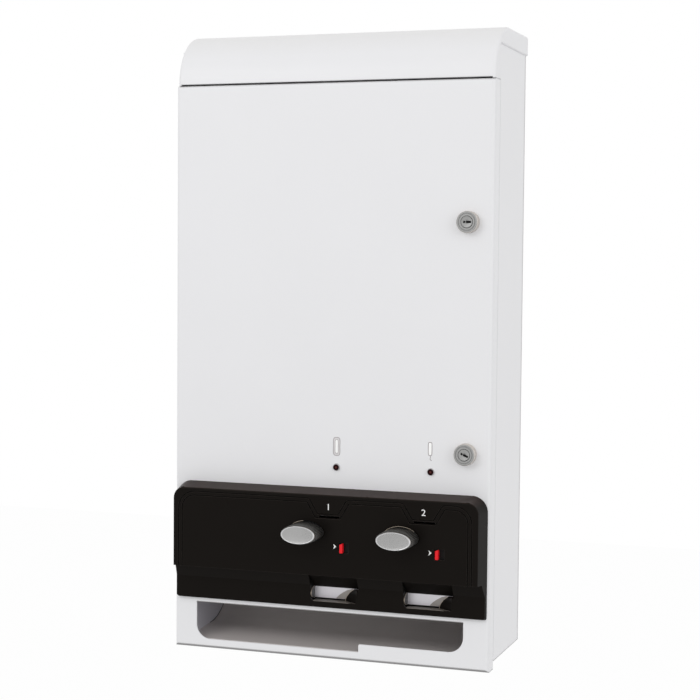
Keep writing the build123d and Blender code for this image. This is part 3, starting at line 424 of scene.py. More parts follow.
def mottle_group():
    """Soft uneven colour and gloss with a fine ripple, as on paint and mouldings."""
    group, start, end = new_group("surface_mottle", [
        ("Color", TINT, (0.8, 0.8, 0.8, 1)), ("Color Change", NUMBER, 0.03),
        ("Roughness", NUMBER, 0.4), ("Roughness Change", NUMBER, 0.05),
        ("Patch Scale", NUMBER, 12.0), ("Ripple Scale", NUMBER, 900.0),
        ("Ripple Height", NUMBER, 0.00002), ("Edge Radius", NUMBER, 0.0004),
    ], LOOK_OUTPUTS)
    place = object_place(group)
    patch = noise(group, place, start["Patch Scale"], detail=4.0)
    ripple = noise(group, place, start["Ripple Scale"], detail=2.0)
    swing = math_node(group, "SUBTRACT", patch, NOISE_MEAN)
    finish_look(group, start, end, swing, ripple, start["Ripple Height"], samples=6)
    return group


def brushed_group():
    """Fine parallel scratches along one axis, with patches of wear and dull spots."""
    group, start, end = new_group("brushed_metal", [
        ("Color", TINT, (0.6, 0.6, 0.6, 1)), ("Color Change", NUMBER, 0.15),
        ("Roughness", NUMBER, 0.35), ("Roughness Change", NUMBER, 0.15),
        ("Stretch", DIRECTION, (1.0, 1.0, 1.0)),
        ("Scratch Height", NUMBER, 0.00002), ("Edge Radius", NUMBER, 0.0003),
    ], LOOK_OUTPUTS)
    place = object_place(group)
    stretched = add_node(group, "ShaderNodeVectorMath", {"operation": "MULTIPLY"})
    socket(group, place, stretched.inputs[0])
    socket(group, start["Stretch"], stretched.inputs[1])
    scratch = noise(group, stretched.outputs[0], scale=1.0, detail=5.0, Roughness=0.65)
    spots = product(group, noise(group, place, SPOT_SCALE, detail=3.0), SPOT_SHARE)
    both = math_node(group, "ADD", scratch, spots)
    swing = math_node(group, "SUBTRACT", both, NOISE_MEAN * (1 + SPOT_SHARE))
    finish_look(group, start, end, swing, scratch, start["Scratch Height"], samples=4)
    return group


def edge_shade_group():
    """Painted shade: grey darkening on the lower edges of a sheet and along its rear edge near the wall."""
    group, start, end = new_group("painted_edge_shade", [
        ("Color", TINT, (0.8, 0.8, 0.8, 1)), ("Edge Shade", TINT, (0.3, 0.3, 0.3, 1)),
        ("Amount", NUMBER, 0.8), ("Edge Radius", NUMBER, 0.002),
        ("Rear Amount", NUMBER, 0.0), ("Rear Width", NUMBER, 0.006),
    ], [("Color", TINT)])
    normal = own_axes(group, soft_normal(group, start["Edge Radius"]))
    down = product(group, normal["Z"], -1.0)
    underside = ramp(group, down, *UNDERSIDE_SLOPES)
    edge = product(group, ramp(group, down, *EDGE_SHADE_SLOPES), math_node(group, "SUBTRACT", 1.0, underside))
    depth = components(group, object_place(group))["Y"]
    near_wall = ramp(group, depth, product(group, start["Rear Width"], -1.0), 0.0)
    share = math_node(
        group, "MAXIMUM", product(group, edge, start["Amount"]),
        product(group, near_wall, start["Rear Amount"]),
    )
    socket(group, mix_colour(group, share, start["Color"], start["Edge Shade"]), end["Color"])
    return group


def trough_shade_group():
    """Painted shade on a trough: its upright ends and its floor given darker tones of their own, by which
    way they face.
    """
    group, start, end = new_group("painted_trough_shade", [
        ("Color", TINT, (0.8, 0.8, 0.8, 1)), ("Ends", TINT, (0.5, 0.5, 0.5, 1)),
        ("Floor", TINT, (0.5, 0.5, 0.5, 1)), ("Amount", NUMBER, 0.5),
    ], [("Color", TINT)])
    normal = own_axes(group, flat_normal(group))
    ends = ramp(group, math_node(group, "ABSOLUTE", normal["X"], 0.0), *END_SLOPES)
    level = ramp(group, normal["Z"], *FLOOR_SLOPES)
    floor = mix_colour(group, product(group, level, start["Amount"]), start["Color"], start["Floor"])
    socket(group, mix_colour(group, ends, floor, start["Ends"]), end["Color"])
    return group


def top_tint_group():
    """Painted light on what faces up, in uneven patches: where the tint is lighter it is a painted sheen,
    where darker it is painted shade.
    """
    group, start, end = new_group("painted_top_tint", [
        ("Color", TINT, (0.1, 0.1, 0.1, 1)), ("Top Tint", TINT, (0.5, 0.5, 0.5, 1)), ("Amount", NUMBER, 0.5),
    ], [("Color", TINT)])
    level = ramp(group, components(group, flat_normal(group))["Z"], *TOP_TINT_SLOPES)
    uneven = span(group, noise(group, object_place(group), TOP_TINT_SCALE, detail=4.0), *TOP_TINT_UNEVEN)
    share = product(group, level, uneven, start["Amount"])
    socket(group, mix_colour(group, share, start["Color"], start["Top Tint"]), end["Color"])
    return group


def edge_light_and_shade_group():
    """Painted highlights on the sharp edges of a front face, and painted shade on the floors of its shallow
    grooves.
    """
    group, start, end = new_group("painted_edge_highlights_and_groove_shade", [
        ("Color", TINT, (0.1, 0.1, 0.1, 1)), ("Edge Highlight", TINT, (0.3, 0.3, 0.3, 1)),
        ("Groove Shade", TINT, (0.0, 0.0, 0.0, 1)), ("Amount", NUMBER, 0.5),
        ("Edge Radius", NUMBER, 0.0005), ("Face", NUMBER, 0.0), ("Groove Depth", NUMBER, 0.001),
    ], [("Color", TINT)])
    depth = components(group, object_place(group))["Y"]
    front = math_node(group, "LESS_THAN", depth, start["Face"])
    deepest = math_node(group, "ADD", start["Face"], start["Groove Depth"])
    shallow = math_node(group, "LESS_THAN", depth, deepest)
    flat = flat_normal(group)
    facing = math_node(group, "LESS_THAN", own_axes(group, flat)["Y"], FRONT_SLOPE)
    sunk = product(group, math_node(group, "SUBTRACT", shallow, front), facing)
    likeness = add_node(group, "ShaderNodeVectorMath", {"operation": "DOT_PRODUCT"})
    socket(group, flat, likeness.inputs[0])
    socket(group, soft_normal(group, start["Edge Radius"]), likeness.inputs[1])
    bent = math_node(group, "SUBTRACT", 1.0, likeness.outputs["Value"])
    share = product(group, ramp(group, bent, *HIGHLIGHT_BENDS), front, start["Amount"])
    highlighted = mix_colour(group, share, start["Color"], start["Edge Highlight"])
    socket(group, mix_colour(group, sunk, highlighted, start["Groove Shade"]), end["Color"])
    return group


MOTTLE = mottle_group()
BRUSHED = brushed_group()
TOP_TINT = top_tint_group()
EDGE_SHADE = edge_shade_group()
TROUGH_SHADE = trough_shade_group()
EDGE_HIGHLIGHT_AND_GROOVE_SHADE = edge_light_and_shade_group()


# Finishes


def rgb(red, green, blue):
    """Colour with full alpha."""
    return (red, green, blue, 1.0)


def place_group(tree, group, values):
    """Node group in a material, with the material's own values."""
    look = tree.nodes.new("ShaderNodeGroup")
    look.node_tree = group
    for label, value in values.items():
        look.inputs[label].default_value = value
    return look


def material(name, group, values, **shader):
    """Principled material whose colour, roughness and normal come from a group."""
    made = bpy.data.materials.new(name)
    made.use_nodes = True
    surface = made.node_tree.nodes["Principled BSDF"]
    look = place_group(made.node_tree, group, values)
    for source, target in (("Color", "Base Color"), ("Roughness", "Roughness"), ("Normal", "Normal")):
        made.node_tree.links.new(look.outputs[source], surface.inputs[target])
    for label, value in shader.items():
        surface.inputs[label.replace("_", " ")].default_value = value
    return made


def add_layer(made, group, values):
    """Lay a group's change of colour over what a material already has."""
    tree = made.node_tree
    colour = tree.nodes["Principled BSDF"].inputs["Base Color"]
    layer = place_group(tree, group, values)
    tree.links.new(colour.links[0].from_socket, layer.inputs["Color"])
    tree.links.new(layer.outputs["Color"], colour)


def paint(name, colour, rough, **shader):
    """Baked enamel with a faint orange peel."""
    return material(name, MOTTLE, {
        "Color": colour, "Roughness": rough, "Color Change": 0.03,
        "Ripple Scale": 700.0, "Ripple Height": 0.00002, "Edge Radius": 0.0012,
    }, **shader)


def moulding(name, colour, rough=0.4, change=0.1, **shader):
    """Moulded plastic with a fine spark-eroded skin."""
    return material(name, MOTTLE, {
        "Color": colour, "Roughness": rough, "Color Change": change, "Roughness Change": 0.12,
        "Patch Scale": 30.0, "Ripple Scale": 2600.0, "Ripple Height": 0.00001, "Edge Radius": 0.0004,
    }, **shader)


def metal(name, colour, rough, stretch, change=0.2, metallic=1.0, height=0.00002):
    """Metal with fine scratches that run along the axis of the smallest stretch."""
    return material(name, BRUSHED, {
        "Color": colour, "Roughness": rough, "Stretch": stretch, "Color Change": change,
        "Roughness Change": 0.2, "Scratch Height": height,
    }, Metallic=metallic)


enamel, door_enamel, shell_enamel = (
    paint(name, rgb(0.815, 0.815, 0.83), rough=0.38, Specular_IOR_Level=0.4)
    for name in ("white_enamel", "door_enamel", "shell_enamel")
)

bezel_black = moulding(
    "black_bezel", rgb(0.0072, 0.0061, 0.0053), rough=0.3, Specular_IOR_Level=0.05,
    Specular_Tint=rgb(1.0, 0.9, 0.82),
)
knob_black = moulding("black_knob", rgb(0.004, 0.004, 0.004), rough=0.45, Specular_IOR_Level=0.1)
knob_ridge = material("black_knob_ridges", MOTTLE, {
    "Color": rgb(0.084, 0.081, 0.076), "Roughness": 0.35, "Color Change": 3.0, "Roughness Change": 0.2,
    "Patch Scale": 800.0, "Ripple Scale": 2600.0, "Ripple Height": 0.00001, "Edge Radius": 0.0001,
})
red_plastic = moulding("red_plastic", rgb(0.82, 0.014, 0.022), change=0.05, Specular_IOR_Level=0.2)
follower_plastic = moulding("black_plastic", rgb(0.006, 0.006, 0.0055), rough=0.5, Specular_IOR_Level=0.12)
# Painted highlight: brown for the lit strips on the cups' floors and lips.
lip_highlight = moulding("painted_lip_highlight", rgb(0.15, 0.131, 0.115), rough=0.45)
cheek_plastic = moulding("grey_cheek", rgb(0.035, 0.034, 0.033))
lens_tint = moulding("window_tint", rgb(0.014, 0.001, 0.0015), rough=0.45, Specular_IOR_Level=0.08)
lens_core = moulding("window_core", rgb(0.09, 0.018, 0.014), Specular_IOR_Level=0.2)
window_edge = moulding("window_edge", rgb(0.50, 0.48, 0.48), rough=0.2)
seam_dark = moulding("seam_shadow", rgb(0.035, 0.033, 0.032), rough=0.6, change=0.3)
keyway_dark = moulding("keyway_shade", rgb(0.006, 0.006, 0.006), rough=0.6, Specular_IOR_Level=0.1)
white_print = moulding("white_print", rgb(0.98, 0.98, 0.97), rough=0.5, change=0.03)
pale_print = moulding("pale_print", rgb(0.70, 0.68, 0.685), rough=0.5, change=0.06)
grey_print = moulding("grey_print", rgb(0.36, 0.33, 0.335), rough=0.5, change=0.08)

plated = metal("zinc_plated_steel", rgb(0.60, 0.61, 0.63), rough=0.42, stretch=(60.0, 900.0, 900.0))
tray_steel = metal(
    "satin_tray_steel", rgb(0.95, 0.885, 0.865), rough=0.5, stretch=(14.0, 500.0, 500.0), change=0.1,
    metallic=0.1,
)
hinge_steel = metal("bright_hinge_steel", rgb(0.72, 0.72, 0.73), rough=0.3, stretch=(700.0, 700.0, 40.0))
shaft_steel = metal("turned_steel", rgb(0.62, 0.62, 0.63), rough=0.28, stretch=(700.0, 60.0, 700.0))
brass = metal("turned_brass", rgb(0.74, 0.56, 0.27), rough=0.3, stretch=(500.0,) * 3)
screw_steel = metal("screw_steel", rgb(0.64, 0.64, 0.62), rough=0.32, stretch=(600.0,) * 3)
spring_steel = metal("spring_wire", rgb(0.45, 0.45, 0.46), rough=0.3, stretch=(600.0,) * 3)
knob_satin = metal(
    "satin_knob_face", rgb(0.39, 0.388, 0.385), rough=0.3, stretch=(1100.0,) * 3, change=0.35, height=0.00005
)
# Painted highlight: the face's rim is a lighter copy of the face's metal, which the dish keeps darker.
face_rim = metal("bright_face_rim", rgb(0.62, 0.62, 0.625), rough=0.32, stretch=(700.0,) * 3)
# Painted highlight: tan for thin lines along edges where light catches.
tan_highlight = metal("painted_tan_highlight", rgb(0.46, 0.39, 0.315), rough=0.35, stretch=(500.0,) * 3, metallic=0.6)
flap_steel = metal(
    "flap_steel", rgb(0.74, 0.72, 0.755), rough=0.45, stretch=(900.0, 900.0, 60.0), change=0.12, metallic=0.5
)
# Painted shadow: a tan-grey patch on the lower right of each flap.
flap_shadow_tint = metal(
    "turned_flap_ear", rgb(0.34, 0.315, 0.295), rough=0.5, stretch=(900.0, 900.0, 60.0), metallic=0.3
)
lock_chrome = metal(
    "satin_lock_chrome", rgb(0.33, 0.33, 0.325), rough=0.45, stretch=(800.0,) * 3, change=0.3, metallic=0.7
)
# Painted reflection: the collar's side is a paler, warmer copy of its chrome.
lock_side = metal(
    "pale_lock_side", rgb(0.62, 0.58, 0.54), rough=0.4, stretch=(500.0, 90.0, 500.0), metallic=0.8
)

# Painted highlights on the bezel's front edges, and painted shade in its shallow grooves.
add_layer(bezel_black, EDGE_HIGHLIGHT_AND_GROOVE_SHADE, {
    "Edge Highlight": rgb(0.085, 0.075, 0.068), "Groove Shade": rgb(0.0005, 0.0005, 0.0005), "Amount": 0.8,
    "Edge Radius": 0.0004, "Face": PLATE + FACE_MARGIN, "Groove Depth": 0.0012,
})
# Painted sheen: a brown tint on the bezel's upward faces, such as its top ledge.
add_layer(bezel_black, TOP_TINT, {"Top Tint": rgb(0.075, 0.050, 0.044), "Amount": 0.40})
# Painted shade: the white paint a little darker on its upward faces.
for coat in (enamel, door_enamel, shell_enamel):
    add_layer(coat, TOP_TINT, {"Top Tint": rgb(0.74, 0.73, 0.72), "Amount": 0.5})
# Painted shade on the lower edges of the door and the shell, and along the shell's rear edge by the wall.
for coat, rear in ((door_enamel, 0.0), (shell_enamel, 0.75)):
    add_layer(coat, EDGE_SHADE, {
        "Edge Shade": rgb(0.20, 0.195, 0.195), "Amount": 0.9, "Rear Amount": rear, "Edge Radius": 0.002,
    })
# Painted shade: the tray's upright ends and floor darker than the rest of its sheet.
add_layer(tray_steel, TROUGH_SHADE, {
    "Ends": rgb(0.54, 0.53, 0.58), "Floor": rgb(0.60, 0.555, 0.54), "Amount": 0.9,
})

# Each slot of the frame with its finish, and the two nodes that have a coat of their own
FINISHES = {
    "enamel": enamel, "bezel_black": bezel_black, "plated_steel": plated, "tray_steel": tray_steel,
    "hinge_steel": hinge_steel, "knob_black": knob_black, "knob_satin": knob_satin,
    "shaft_steel": shaft_steel, "brass": brass, "red_plastic": red_plastic, "flap_steel": flap_steel,
    "lens_clear": lens_tint, "lock_chrome": lock_chrome, "follower_plastic": follower_plastic,
    "screw_steel": screw_steel, "spring_steel": spring_steel,
}
OWN_COATS = {"door_pan": door_enamel, "cabinet_shell": shell_enamel}


def dress_frame():
    """Give every node of the frame its finish."""
    for entry in frame["record"]["subparts"]:
        name = entry["node"]
        materials = nodes[name].data.materials
        materials.clear()
        materials.append(OWN_COATS.get(name, FINISHES[entry["material_slot"]]))


# Mesh helpers


def placed(name, data):
    """New object in the scene."""
    made = bpy.data.objects.new(name, data)
    bpy.context.scene.collection.objects.link(made)
    return made


def add_piece(name, mesh, finish, body):
    """Finished mesh with its material, riding on a body."""
    mesh.name = name
    mesh.materials.clear()
    mesh.materials.append(finish)
    piece = placed(name, mesh)
    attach(piece, body)
    return piece


def plain_mesh(holder, *others):
    """Mesh of an object as its modifiers leave it. The object and others with it are removed."""
    view = bpy.context.evaluated_depsgraph_get()
    mesh = bpy.data.meshes.new_from_object(holder.evaluated_get(view))
    for item in (holder, *others):
        bpy.data.objects.remove(item)
    return mesh


def from_bmesh(shape, smooth_below=SMOOTH_BELOW):
    """Mesh whose normals point outwards and whose sharp edges stay sharp."""
    bmesh.ops.remove_doubles(shape, verts=shape.verts, dist=MERGE)
    bmesh.ops.recalc_face_normals(shape, faces=shape.faces)
    mesh = bpy.data.meshes.new("shape")
    shape.to_mesh(mesh)
    shape.free()
    mesh.shade_smooth()
    mesh.set_sharp_from_angle(angle=radians(smooth_below))
    return mesh


def bridged(sections, closed=False):
    """Bar through sections with the same number of corners, with a face at each end or joined in a ring."""
    shape = bmesh.new()
    loops = [[shape.verts.new(corner) for corner in section] for section in sections]
    count = len(loops)
    for index in range(count if closed else count - 1):
        here, there = loops[index], loops[(index + 1) % count]
        for first in range(len(here)):
            second = (first + 1) % len(here)
            shape.faces.new((here[first], here[second], there[second], there[first]))
    if not closed:
        shape.faces.new(loops[0])
        shape.faces.new(list(reversed(loops[-1])))
    return from_bmesh(shape)


def lathe(profile, centre, steps, flatten=1.0):
    """Ring turned about an axis along y, from a closed loop of (radius, depth) points."""
    rings = []
    for step in range(steps):
        turn = 2 * pi * step / steps
        across, up = cos(turn), sin(turn) * flatten
        rings.append([(centre[0] + r * across, depth, centre[1] + r * up) for r, depth in profile])
    return bridged(rings, closed=True)


def slab(outline, front, rear):
    """Flat plate from an (x, z) outline between two depths."""
    return bridged([[(x, depth, z) for x, z in outline] for depth in (front, rear)])


def stroke(path, half, front, rear, closed=True):
    """Flat line of even width along an (x, z) path."""
    count = len(path)
    sections = []
    for index, (x, z) in enumerate(path):
        before = path[index - 1] if closed or index > 0 else path[index]
        after = path[(index + 1) % count] if closed or index < count - 1 else path[index]
        ahead = Vector((after[0] - before[0], after[1] - before[1])).normalized() * half
        left, right = (x - ahead.y, z + ahead.x), (x + ahead.y, z - ahead.x)
        corners = ((left, front), (right, front), (right, rear), (left, rear))
        sections.append([(side[0], depth, side[1]) for side, depth in corners])
    return bridged(sections, closed)


def turned_aside(mesh):
    """Mesh drawn on (-y, z) between two depths, turned to lie between two planes across x."""
    mesh.transform(Matrix.Rotation(-pi / 2, 4, "Z"))
    return mesh


def pill(centre, half_wide, half_high, waist=0.0, square=PILL_SQUARE):
    """Upright rounded outline, drawn in a little at its waist."""
    points = []
    for step in range(PILL_STEPS):
        turn = 2 * pi * step / PILL_STEPS
        across = abs(cos(turn)) ** square * (1 if cos(turn) >= 0 else -1)
        up = abs(sin(turn)) ** square * (1 if sin(turn) >= 0 else -1)
        drawn = 1 - waist * cos(up * pi / 2) ** 2
        points.append((centre[0] + half_wide * across * drawn, centre[1] + half_high * up))
    return points


def carve(mesh, cutter):
    """Mesh with a cutter's volume taken away."""
    body, tool = placed("carved", mesh), placed("cutter", cutter)
    change = body.modifiers.new("carve", "BOOLEAN")
    change.object = tool
    change.operation = "DIFFERENCE"
    change.solver = "EXACT"
    return plain_mesh(body, tool)


# Geometry Nodes


def sized_tree(name, sizes):
    """Empty Geometry Nodes tree with named sizes."""
    tree = bpy.data.node_groups.new(name, "GeometryNodeTree")
    tree.interface.new_socket("Geometry", in_out="INPUT", socket_type="NodeSocketGeometry")
    for label, kind in sizes:
        tree.interface.new_socket(label, in_out="INPUT", socket_type=kind)
    tree.interface.new_socket("Geometry", in_out="OUTPUT", socket_type="NodeSocketGeometry")
    return tree, tree.nodes.new("NodeGroupInput").outputs, tree.nodes.new("NodeGroupOutput").inputs


def finish_tree(tree, shape, finish, end):
    """Close a tree: make its copies real and give them their material."""
    real = add_node(tree, "GeometryNodeRealizeInstances", Geometry=shape).outputs[0]
    done = add_node(tree, "GeometryNodeSetMaterial", Geometry=real)
    done.inputs["Material"].default_value = finish
    socket(tree, done.outputs[0], end[0])


def moved(tree, shape, **how):
    """Geometry that is shifted, turned or scaled."""
    return add_node(tree, "GeometryNodeTransform", Geometry=shape, **how).outputs[0]


def merged(tree, shapes):
    """Several geometries as one."""
    joined = tree.nodes.new("GeometryNodeJoinGeometry")
    for shape in shapes:
        tree.links.new(shape, joined.inputs[0])
    return joined.outputs[0]


def grown(tree, sizes, seeds=()):
    """Plain mesh that a tree makes from points and sizes."""
    mesh = bpy.data.meshes.new("seeds")
    mesh.from_pydata([tuple(seed) for seed in seeds], [], [])
    holder = placed("seeds", mesh)
    grow = holder.modifiers.new("grow", "NODES")
    grow.node_group = tree
    for item in tree.interface.items_tree:
        if item.in_out == "INPUT" and item.name in sizes:
            grow[item.identifier] = sizes[item.name]
    return plain_mesh(holder)


def flute_tree():
    """Fine ribs side by side round an oval grip that tapers to its front."""
    tree, start, end = sized_tree("knob_flutes", [
        ("Half Length", NUMBER), ("Half Height", NUMBER), ("Count", "NodeSocketInt"),
        ("Rib Radius", NUMBER), ("Depth", NUMBER), ("Taper", NUMBER), ("Centre", DIRECTION),
    ])
    circle = add_node(tree, "GeometryNodeCurvePrimitiveCircle", Resolution=OVAL_STEPS, Radius=1.0)
    size = combined(tree, X=start["Half Length"], Y=start["Half Height"], Z=1.0)
    track = moved(tree, circle.outputs[0], Scale=size)
    even = add_node(tree, "GeometryNodeResampleCurve", Curve=track, Count=start["Count"]).outputs[0]
    rib = add_node(
        tree, "GeometryNodeMeshCylinder", Vertices=FLUTE_SIDES, Radius=start["Rib Radius"],
        Depth=start["Depth"],
    ).outputs[0]
    ribs = add_node(tree, "GeometryNodeInstanceOnPoints", Points=even, Instance=rib).outputs[0]
    real = add_node(tree, "GeometryNodeRealizeInstances", Geometry=ribs).outputs[0]
    place = components(tree, tree.nodes.new("GeometryNodeInputPosition").outputs[0])
    along = math_node(tree, "ADD", math_node(tree, "DIVIDE", place["Z"], start["Depth"]), 0.5)
    narrow = math_node(tree, "SUBTRACT", 1.0, product(tree, along, start["Taper"]))
    drawn_in = combined(
        tree, X=product(tree, place["X"], narrow), Y=product(tree, place["Y"], narrow), Z=place["Z"]
    )
    tapered = add_node(tree, "GeometryNodeSetPosition", Geometry=real, Position=drawn_in).outputs[0]
    stood = moved(tree, tapered, Translation=start["Centre"], Rotation=(pi / 2, 0, 0))
    finish_tree(tree, stood, knob_ridge, end)
    return tree


def screw_tree():
    """Pan-head screws with a crossed recess, one at each point."""
    tree, start, end = sized_tree("pan_head_screws", [
        ("Head Radius", NUMBER), ("Head", NUMBER), ("Shank Radius", NUMBER), ("Shank", NUMBER),
        ("Turn", DIRECTION),
    ])
    crown, arm, groove = (
        product(tree, start["Head Radius"], share)
        for share in (HEAD_CROWN_SHARE, CROSS_ARM_SHARE, CROSS_WIDTH_SHARE)
    )
    head = add_node(
        tree, "GeometryNodeMeshCone", Vertices=HEAD_SIDES, Radius_Top=crown,
        Radius_Bottom=start["Head Radius"], Depth=start["Head"],
    ).outputs["Mesh"]
    bars = []
    for across, along in ((arm, groove), (groove, arm)):
        size = combined(tree, X=across, Y=along, Z=start["Head"])
        bars.append(add_node(tree, "GeometryNodeMeshCube", Size=size).outputs["Mesh"])
    raised = combined(tree, Z=product(tree, start["Head"], CROSS_LIFT_SHARE))
    recess = add_node(tree, "GeometryNodeMeshBoolean", {"operation": "DIFFERENCE"})
    tree.links.new(head, recess.inputs[0])
    tree.links.new(moved(tree, merged(tree, bars), Translation=raised), recess.inputs[1])
    shank = add_node(
        tree, "GeometryNodeMeshCylinder", Vertices=SHANK_SIDES, Radius=start["Shank Radius"],
        Depth=start["Shank"],
    ).outputs[0]
    sunk = combined(tree, Z=product(tree, start["Shank"], -0.5))
    pin = moved(tree, shank, Translation=sunk)
    screws = add_node(
        tree, "GeometryNodeInstanceOnPoints", Points=start["Geometry"],
        Instance=merged(tree, (recess.outputs[0], pin)), Rotation=start["Turn"],
    ).outputs[0]
    finish_tree(tree, screws, screw_steel, end)
    return tree


FLUTES = flute_tree()
SCREWS = screw_tree()


# Knobs


def add_flutes(name):
    """Fine ribs round a knob's grip."""
    place, half_long, half_high = oval(f"{name}_knob")
    low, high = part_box(f"{name}_knob")
    mesh = grown(FLUTES, {
        "Half Length": half_long, "Half Height": half_high, "Count": FLUTE_COUNT,
        "Rib Radius": FLUTE_RADIUS, "Depth": high.y - low.y - 2 * FLUTE_INSET, "Taper": KNOB_TAPER,
        "Centre": (place.x, place.y, place.z),
    })
    mesh.shade_smooth()
    add_piece(f"{name}_knob_flutes", mesh, knob_ridge, f"{name}_spindle")


def add_skirt(name):
    """Thin skirt round a knob's foot, and a painted highlight along an arc of its edge."""
    place, half_long, half_high = oval(f"{name}_knob")
    centre = (place.x, place.z)
    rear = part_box(f"{name}_knob")[1].y
    front = rear - SKIRT_DEEP
    wide, tall = half_long - SKIRT_INSET, half_high + SKIRT_RISE
    profile = [
        (half_long / 2, front), (wide - 3 * TRIM, front), (wide, rear - SKIRT_DEEP / 2), (wide, rear),
        (half_long / 2, rear),
    ]
    skirt = lathe(profile, centre, KNOB_STEPS, tall / wide)
    add_piece(f"{name}_knob_skirt", skirt, knob_black, f"{name}_spindle")
    glint_from, glint_to = GLINT_ARCS[name]
    glint_path = []
    for step in range(GLINT_STEPS + 1):
        turn = radians(glint_from + (glint_to - glint_from) * step / GLINT_STEPS)
        glint_path.append((centre[0] + (wide - TRIM) * cos(turn), centre[1] + (tall - TRIM) * sin(turn)))
    arc = stroke(glint_path, TRIM, front - TRIM / 4, front + 4 * TRIM, closed=False)
    add_piece(f"{name}_knob_foot_edge", arc, tan_highlight, f"{name}_spindle")


def add_face(name):
    """Dished face of a knob with its bright rim, a painted highlight, in place of the plain one, and a
    painted tan highlight round its edge behind it.
    """
    low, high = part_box(f"{name}_knob_face")
    _, long, tall = oval(f"{name}_knob_face")
    depth = high.y - TRIM
    edge = [
        (long - TRIM, depth - TRIM), (long + TRIM / 2, depth - TRIM),
        (long + TRIM / 2, depth + TRIM), (long - TRIM, depth + TRIM),
    ]
    inner = long - FACE_RIM
    rim = [
        (inner, low.y + FACE_DISH * 2), (inner, low.y + FACE_DISH / 2),
        (inner + FACE_RIM * RIM_INNER_SHARE, low.y), (long - FACE_RIM * RIM_OUTER_SHARE, low.y),
        (long, low.y + FACE_DISH), (long, high.y), (inner, high.y),
    ]
    dish = [(inner * across, low.y + FACE_DISH * sunk) for across, sunk in DISH_SHARES]
    dish += [(inner, high.y), (0.0, high.y)]
    knob = middle(f"{name}_knob")
    for label, profile, finish in (
        ("knob_face_edge", edge, tan_highlight), ("face_rim", rim, face_rim), ("face_dish", dish, knob_satin),
    ):
        mesh = lathe(profile, (knob.x, knob.z), KNOB_STEPS, tall / long)
        add_piece(f"{name}_{label}", mesh, finish, f"{name}_spindle")
    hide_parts(f"{name}_knob_face")


# Return buttons, arrows and numbers


def add_button(name):
    """Red finger piece with soft edges and one corner cut back, in place of the plain one."""
    low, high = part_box(f"{name}_return_button")
    left, right = low.x + BUTTON_LEFT, high.x - BUTTON_RIGHT
    outline = [(left, low.z), (right, low.z), (right, high.z), (left, high.z - BUTTON_SLANT)]
    shape = bmesh.new()
    shape.from_mesh(slab(outline, low.y, high.y))
    edges = [edge for edge in shape.edges if min(vert.co.y for vert in edge.verts) < high.y - MERGE]
    bmesh.ops.bevel(
        shape, geom=edges, offset=BUTTON_ROUND, segments=BUTTON_ROUND_STEPS, profile=0.5, affect="EDGES"
    )
    mesh = from_bmesh(shape, BUTTON_SMOOTH_BELOW)
    piece = add_piece(f"{name}_button_cap", mesh, red_plastic, f"{name}_button")
    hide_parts(f"{name}_return_button")


def add_arrow(name):
    """Printed arrowhead that points at the button."""
    place = middle(f"{name}_return_button")
    tip, up = place.x - ARROW_GAP, place.z + ARROW_RISE
    rear = tip - ARROW_WIDE
    outline = [(rear, up - ARROW_HALF), (tip, up), (rear, up + ARROW_HALF), (rear + ARROW_WIDE / 3, up)]
    mesh = slab(outline, PLATE - PRINT, PLATE + PRINT)
    add_piece(f"{name}_arrow", mesh, white_print, "door")


def add_number(name):
    """Plain number printed above a coin slot."""
    curve = bpy.data.curves.new("number", "FONT")
    curve.body = DIGITS[name]
    curve.align_x = "CENTER"
    curve.extrude = PRINT
    curve.resolution_u = DIGIT_STEPS
    mesh = plain_mesh(placed("number", curve))
    heights = [vert.co.y for vert in mesh.vertices]
    scale = DIGIT_HIGH / (max(heights) - min(heights))
    x = middle(f"{name}_return_cup").x + DIGIT_SHIFT
    foot = Vector((x, PLATE, middle(f"{name}_knob").z + DIGIT_RISE))
    size = Matrix.Diagonal((scale * DIGIT_WIDEN, scale, 1.0, 1.0))
    mesh.transform(Matrix.Translation(foot) @ Matrix.Rotation(pi / 2, 4, "X") @ size)
    add_piece(f"{name}_number", mesh, white_print, "door")


# Coin slots


def add_slot_shade(name):
    """Painted shade: a black sheet on the door's face just below a coin slot, where the slot is in shadow.
    """
    x, level = middle(f"{name}_return_cup").x, middle(f"{name}_knob").z + SLOT_RISE
    left, right = x - SLOT_SHADE_LEFT, x + SLOT_SHADE_RIGHT
    low, high = level - SLOT_SHADE_DROP, level - SLOT_HALF
    outline = [(left, low), (right, low), (right, high), (left, high)]
    mesh = slab(outline, DOOR - SLOT_SHADE_LIFT - SLOT_SHADE_SHEET, DOOR - SLOT_SHADE_LIFT)
    add_piece(f"{name}_slot_shade", mesh, keyway_dark, "door")


# Return cups


def add_left_cheek(name, left, flap_face, level):
    """Half-round cheek at the left of a cup, with a painted highlight along its edge."""
    right = left + CHEEK_SHEET
    curve = []
    for step in range(CHEEK_STEPS + 1):
        turn = pi * step / CHEEK_STEPS - pi / 2
        curve.append((flap_face - CHEEK_REACH * cos(turn), level + CHEEK_HALF * sin(turn)))
    cheek = turned_aside(slab([(-depth, up) for depth, up in curve], left, right))
    add_piece(f"{name}_cup_cheek", cheek, cheek_plastic, "door")
    outer, inner = left - CUP_TRIM / 4, right + CUP_TRIM / 4
    sections = []
    for depth, up in curve:
        out = Vector((depth - flap_face, (up - level) * 2)).normalized() * CUP_TRIM
        sections.append([
            (outer, depth - out.x, up - out.y), (inner, depth - out.x, up - out.y),
            (inner, depth + out.x, up + out.y), (outer, depth + out.x, up + out.y),
        ])
    add_piece(f"{name}_cheek_edge", bridged(sections), tan_highlight, "door")


